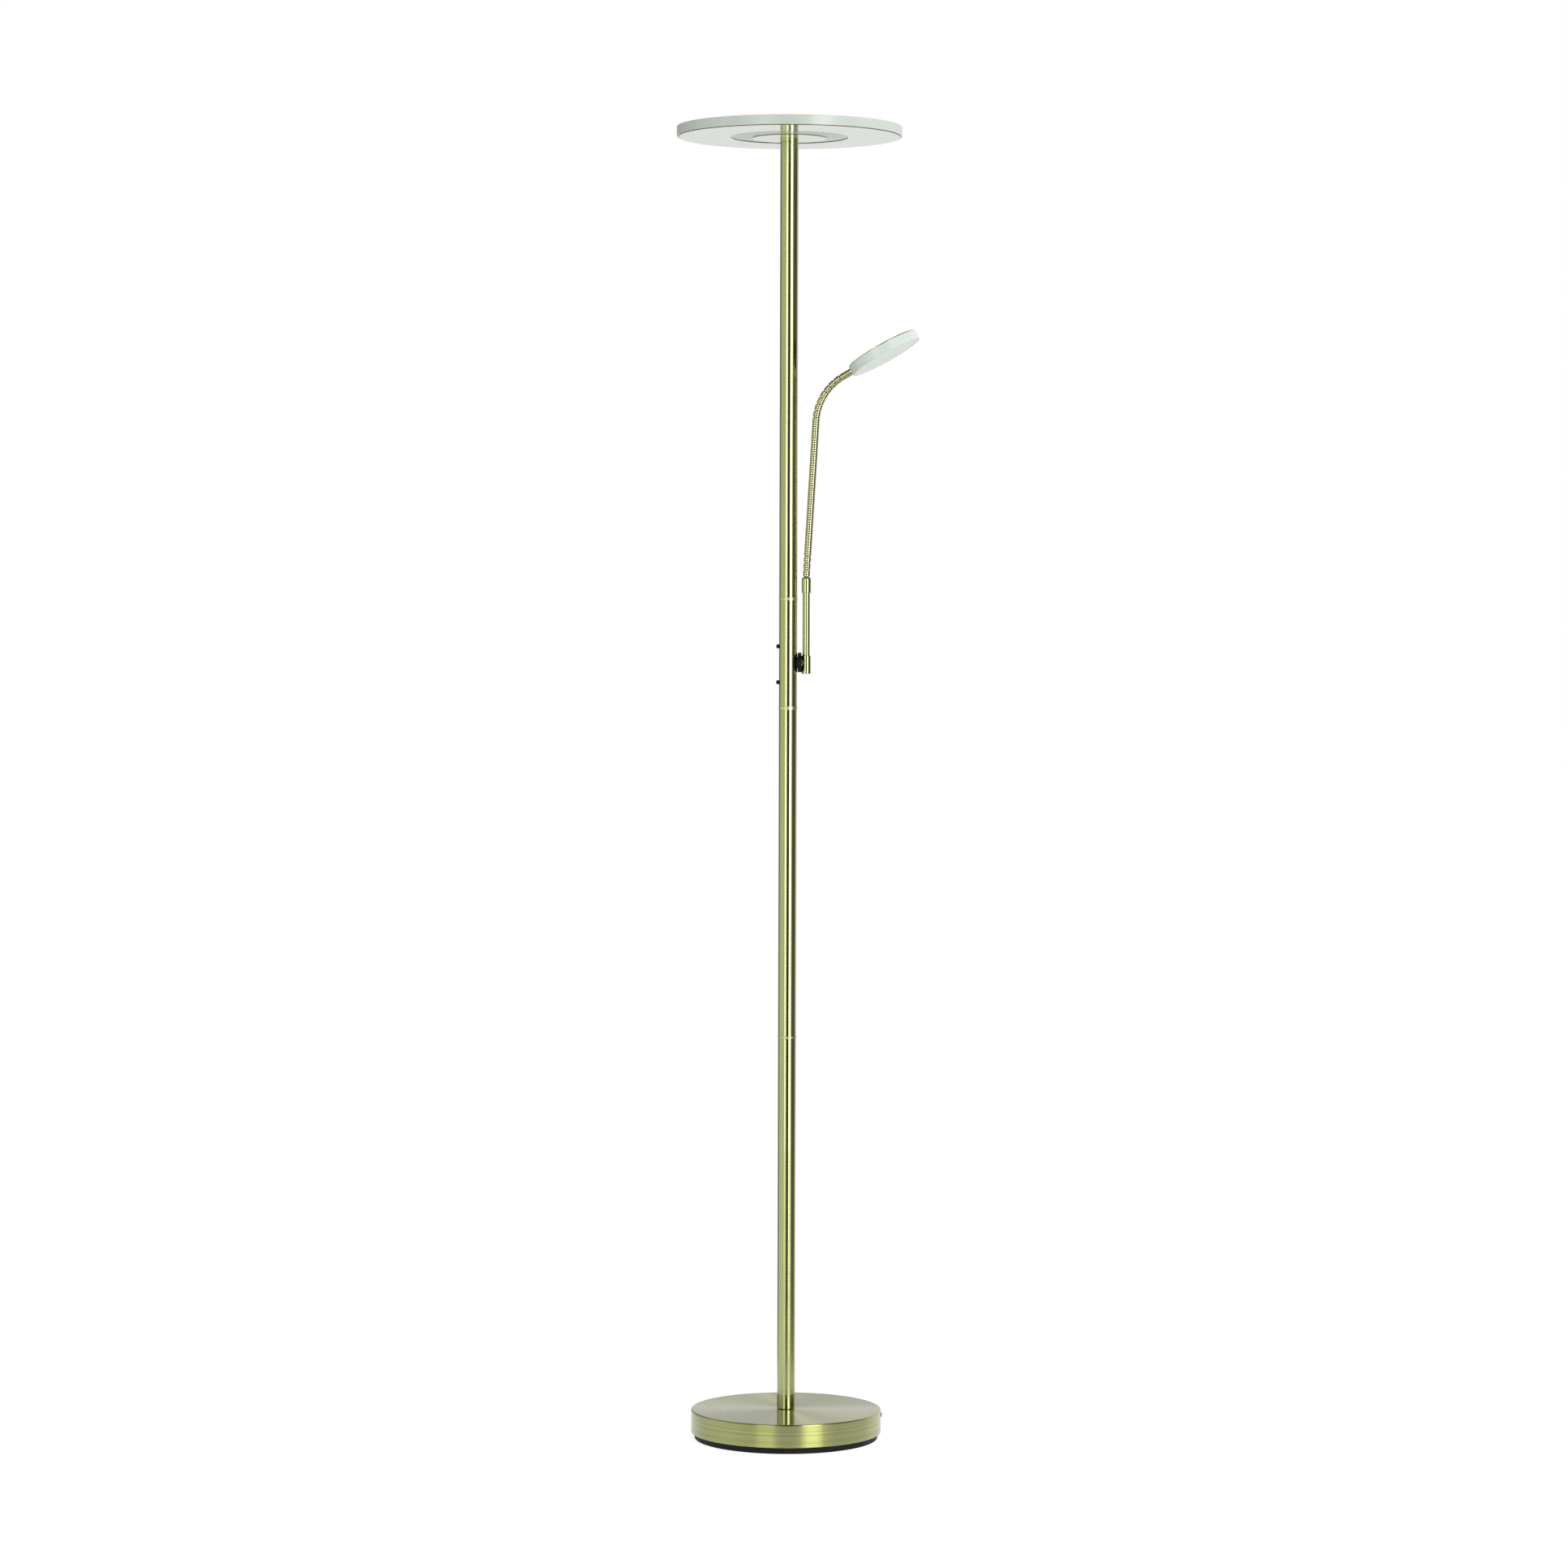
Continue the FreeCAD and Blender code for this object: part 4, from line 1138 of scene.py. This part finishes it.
def buildMainHead():
    low, high = extent("head_rim")
    radius, floor, top = high.x, low.z, high.z
    inside = radius - disc["rimWall"]
    ledge = inside - disc["rimLedge"]
    seat = top - disc["lensInset"] - disc["lensThickness"]
    panTop = floor + disc["panThickness"]
    rim = turnOnLathe("head_rim_band", [
        (radius, floor + disc["rimLift"], disc["rimRound"]),
        (radius, top, disc["rimRound"]),
        (inside, top, 0.4),
        (inside, seat),
        (ledge, seat),
        (ledge, seat - disc["ledgeThickness"]),
        (inside, seat - disc["ledgeThickness"]),
        (inside, panTop + disc["ledgeThickness"]),
        (ledge, panTop + disc["ledgeThickness"]),
        (ledge, panTop),
        (inside, panTop),
        (inside, floor + disc["rimLift"], 0.3),
    ], disc["steps"])
    deliver(rim, shadedHeadCoat, "head_rim")
    outer, inner, step = disc["dishOuter"], disc["dishInner"], disc["dishStep"]
    dishFloor = floor - disc["dishDrop"]
    panEdge = inside - disc["panSeam"]
    pan = turnOnLathe("head_pan_spun", [
        (disc["holeRadius"], dishFloor),
        (inner, dishFloor, 0.2),
        (inner + 0.1, dishFloor + step, 0.1),
        (outer - 0.1, floor + step, 0.1),
        (outer, floor, 0.2),
        (panEdge, floor, 0.25),
        (panEdge, panTop),
        (outer, panTop),
        (inner, panTop - disc["dishDrop"] + step),
        (disc["holeRadius"], dishFloor + disc["panThickness"]),
    ], disc["steps"])
    deliver(pan, panCoat, "head_pan")
    edge = inside - disc["lensFit"]
    lens = turnOnLathe("head_lens_opal", [
        (0, seat),
        (edge, seat, 0.2),
        (edge, top - disc["lensInset"], 0.5),
        (0, top - disc["lensInset"]),
    ], disc["steps"])
    deliver(lens, opal, "head_lens")


buildBase()
buildBush()
print("base built")
buildPole()
buildCoupler("coupler_lower", "pole_lower", "pole_middle")
buildCoupler("coupler_middle", "pole_middle", "control_tube")
buildCoupler("coupler_upper", "control_tube", "pole_upper")
buildButton("button_upper")
buildButton("button_lower")
print("pole and buttons built")
buildPivot()
buildArm()
print("pivot and arm built")
buildNeck()
buildFerrule()
print("neck wound")
buildReadingHead()
buildMainHead()
print("heads built")


innerFinishes = {
    castIron("cast_iron"): ["base_weight"],
    darkHousing("dark_housing"): ["driver_box", "switch_upper", "switch_lower"],
    boardLacquer("board_lacquer"): ["dimmer_board", "head_led_board", "reading_board"],
    rolledSheet("rolled_sheet"): ["head_hub", "head_heat_plate"],
    zincPlate("zinc_plate"): [
        "pole_nipple", "nipple_washer", "nipple_nut", "pole_foot_plug", "pole_head_plug", "pivot_stud",
        "spring_washer", "jam_nut", "grub_screw", "head_nut", "head_nipple", "reading_ring_nut",
    ],
    cableSheath("cable_sheath"): ["pole_cable"],
    pivotBlack: ["friction_pad"],
}
for material, members in innerFinishes.items():
    for node in members:
        for slot in nodes[node].material_slots:
            slot.material = material
print("inner pieces finished")


# The studio is in metres, watts and degrees. Bearings run from the camera's side to the right.
studio = {
    "floorSize": 60.0,
    "floorShade": 0.82,
    "floorGlow": 0.6,
    "floorWhite": 1.4,
    "floorMirrored": 0.95,
    "sweepStart": 0.35,
    "sweepEnd": 0.9,
    "skyLevel": 0.62,
    "skyTilt": 0.3,
    "mirrorLevel": 0.72,
    # dark gaps that metal mirrors: bearing, half width, soft edge, depth
    "gaps": ((4, 12, 5, 0.95), (87, 25, 11, 0.85), (-140, 22, 18, 0.6)),
    "overheadStart": 22,
    "overheadEnd": 40,
    "overheadDepth": 0.85,
    "overheadBehind": (0.2, 0.55),
    # softboxes: name, bearing, distance, height, width, tall, watts, and whether they light
    # matt surfaces or are only mirrored
    "softboxes": (
        ("key_softbox", 32, 3.2, 1.35, 1.3, 2.7, 26, True),
        ("right_card", 33, 3.1, 1.35, 1.1, 2.7, 15, False),
        ("left_softbox", -25, 3.2, 1.35, 1.2, 2.7, 15, True),
    ),
    "boxTarget": (0, 0, 1.0),
    "topSpot": (0.3, -0.2, 3.4),
    "topSize": 2.4,
    "topWatts": 22,
    "sideSpot": (3.1, 0.6, 1.6),
    "sideWidth": 1.4,
    "sideTall": 2.4,
    "sideWatts": 28,
}


# how much a metal surface mirrors of the studio in a direction
def dimmedByGaps(wire, x, y):
    bearing = wire.maths("ARCTAN2", x, 0 - y) * (180 / math.pi)
    kept = 1
    for middle, halfWidth, softEdge, depth in studio["gaps"]:
        gap = 1 - bearing.off(middle).between(halfWidth, halfWidth + softEdge)
        kept = kept * (1 - gap * depth)
    return kept


# 1 for rays that show a surface as such: to the camera, in a mirror or through glass
def seenDirectly(wire):
    through = rayKind(wire, "Is Transmission Ray")
    seen = rayKind(wire, "Is Camera Ray") + rayKind(wire, "Is Glossy Ray") + through
    return seen.between(0, 1, "LINEAR")


# The floor is white to the camera and keeps the shadow. Metal sees a white sweep near the
# lamp, and past it the same dark gaps as in the world.
def addFloor():
    freshStart()
    bpy.ops.mesh.primitive_plane_add(size=studio["floorSize"])
    floor = bpy.context.active_object
    floor.name = "studio_floor"
    material = bpy.data.materials.new("studio_floor")
    material.use_nodes = True
    material.node_tree.nodes.clear()
    wire = Wire(material.node_tree)
    camera = rayKind(wire, "Is Camera Ray")
    x, y = splitXyz(wire, wire.node("ShaderNodeTexCoord", {}, output="Object"))[:2]
    pastSweep = ((x * x + y * y) ** 0.5).between(studio["sweepStart"], studio["sweepEnd"])
    dimmed = rayKind(wire, "Is Glossy Ray") * pastSweep * (1 - dimmedByGaps(wire, x, y))
    level = camera * studio["floorWhite"] + (1 - camera) * studio["floorMirrored"]
    shade = studio["floorShade"]
    matt = wire.node("ShaderNodeBsdfDiffuse", {"Color": (shade, shade, shade, 1)})
    white = wire.node("ShaderNodeEmission", {"Color": (1, 1, 1, 1), "Strength": level})
    black = wire.node("ShaderNodeEmission", {"Color": (0, 0, 0, 1), "Strength": 0.0})
    glow = seenDirectly(wire) * studio["floorGlow"]
    lit = wire.node("ShaderNodeMixShader", {0: glow, 1: matt, 2: white})
    mixed = wire.node("ShaderNodeMixShader", {0: dimmed, 1: lit, 2: black})
    wire.node("ShaderNodeOutputMaterial", {"Surface": mixed})
    floor.data.materials.append(material)


# White to the camera. Metal sees it darker overhead and in the gaps, and matt surfaces get a
# sky that is a little brighter on the right.
def paintWorld():
    world = bpy.data.worlds.new("studio_world")
    bpy.context.scene.world = world
    world.use_nodes = True
    world.node_tree.nodes.clear()
    wire = Wire(world.node_tree)
    x, y, z = splitXyz(wire, wire.node("ShaderNodeTexCoord", {}, output="Generated"))
    start, end = [math.sin(math.radians(studio[key])) for key in ("overheadStart", "overheadEnd")]
    overhead = z.between(start, end) * (1 - y.between(*studio["overheadBehind"]))
    mirrored = studio["mirrorLevel"] * (1 - overhead * studio["overheadDepth"]) * dimmedByGaps(wire, x, y)
    glossy = rayKind(wire, "Is Glossy Ray")
    seen = seenDirectly(wire)
    sky = studio["skyLevel"] * (1 + x * studio["skyTilt"])
    level = seen * (glossy * mirrored + (1 - glossy)) + (1 - seen) * sky
    background = wire.node("ShaderNodeBackground", {"Color": (1, 1, 1, 1), "Strength": level})
    wire.node("ShaderNodeOutputWorld", {"Surface": background})


def addSoftbox(name, place, target, width, tall, watts):
    freshStart()
    aim = (Vector(target) - Vector(place)).to_track_quat("-Z", "Y").to_euler()
    bpy.ops.object.light_add(type="AREA", location=place, rotation=aim)
    lamp = bpy.context.active_object
    lamp.name = name
    lamp.data.shape = "RECTANGLE"
    lamp.data.size = width
    lamp.data.size_y = tall
    lamp.data.energy = watts
    lamp.visible_camera = False
    return lamp


def addLamps():
    target = studio["boxTarget"]
    for name, degrees, distance, height, width, tall, watts, lightsMatt in studio["softboxes"]:
        bearing = math.radians(degrees)
        place = (distance * math.sin(bearing), -distance * math.cos(bearing), height)
        box = addSoftbox(name, place, target, width, tall, watts)
        box.visible_diffuse = lightsMatt
    size = studio["topSize"]
    topBox = addSoftbox("top_softbox", studio["topSpot"], (0, 0, 0), size, size, studio["topWatts"])
    sideBox = addSoftbox("side_softbox", studio["sideSpot"], target, studio["sideWidth"],
                         studio["sideTall"], studio["sideWatts"])
    for unmirrored in (topBox, sideBox):
        unmirrored.visible_glossy = False


# the camera: metres, degrees, and pixels of the photograph
view = {
    "photoWidth": 1932,
    "focalPixels": 5477,
    "sensor": 36.0,
    "distance": 6.099,
    "height": 1.1132,
    "aside": -0.0051,
    "pitchDown": 1.982,
    "roll": 0.16,
}


def addCamera():
    freshStart()
    bpy.ops.object.camera_add()
    camera = bpy.context.active_object
    camera.name = "photo_camera"
    camera.data.sensor_width = view["sensor"]
    camera.data.lens = view["focalPixels"] / view["photoWidth"] * view["sensor"]
    camera.data.clip_end = 200
    spot = Matrix.Translation((view["aside"], -view["distance"], view["height"]))
    tilt = Matrix.Rotation(math.radians(90 - view["pitchDown"]), 4, "X")
    camera.matrix_world = spot @ tilt @ Matrix.Rotation(math.radians(view["roll"]), 4, "Z")
    bpy.context.scene.camera = camera


addFloor()
paintWorld()
addLamps()
addCamera()
bpy.context.scene.view_settings.view_transform = "Standard"
print("studio set")

freshStart()
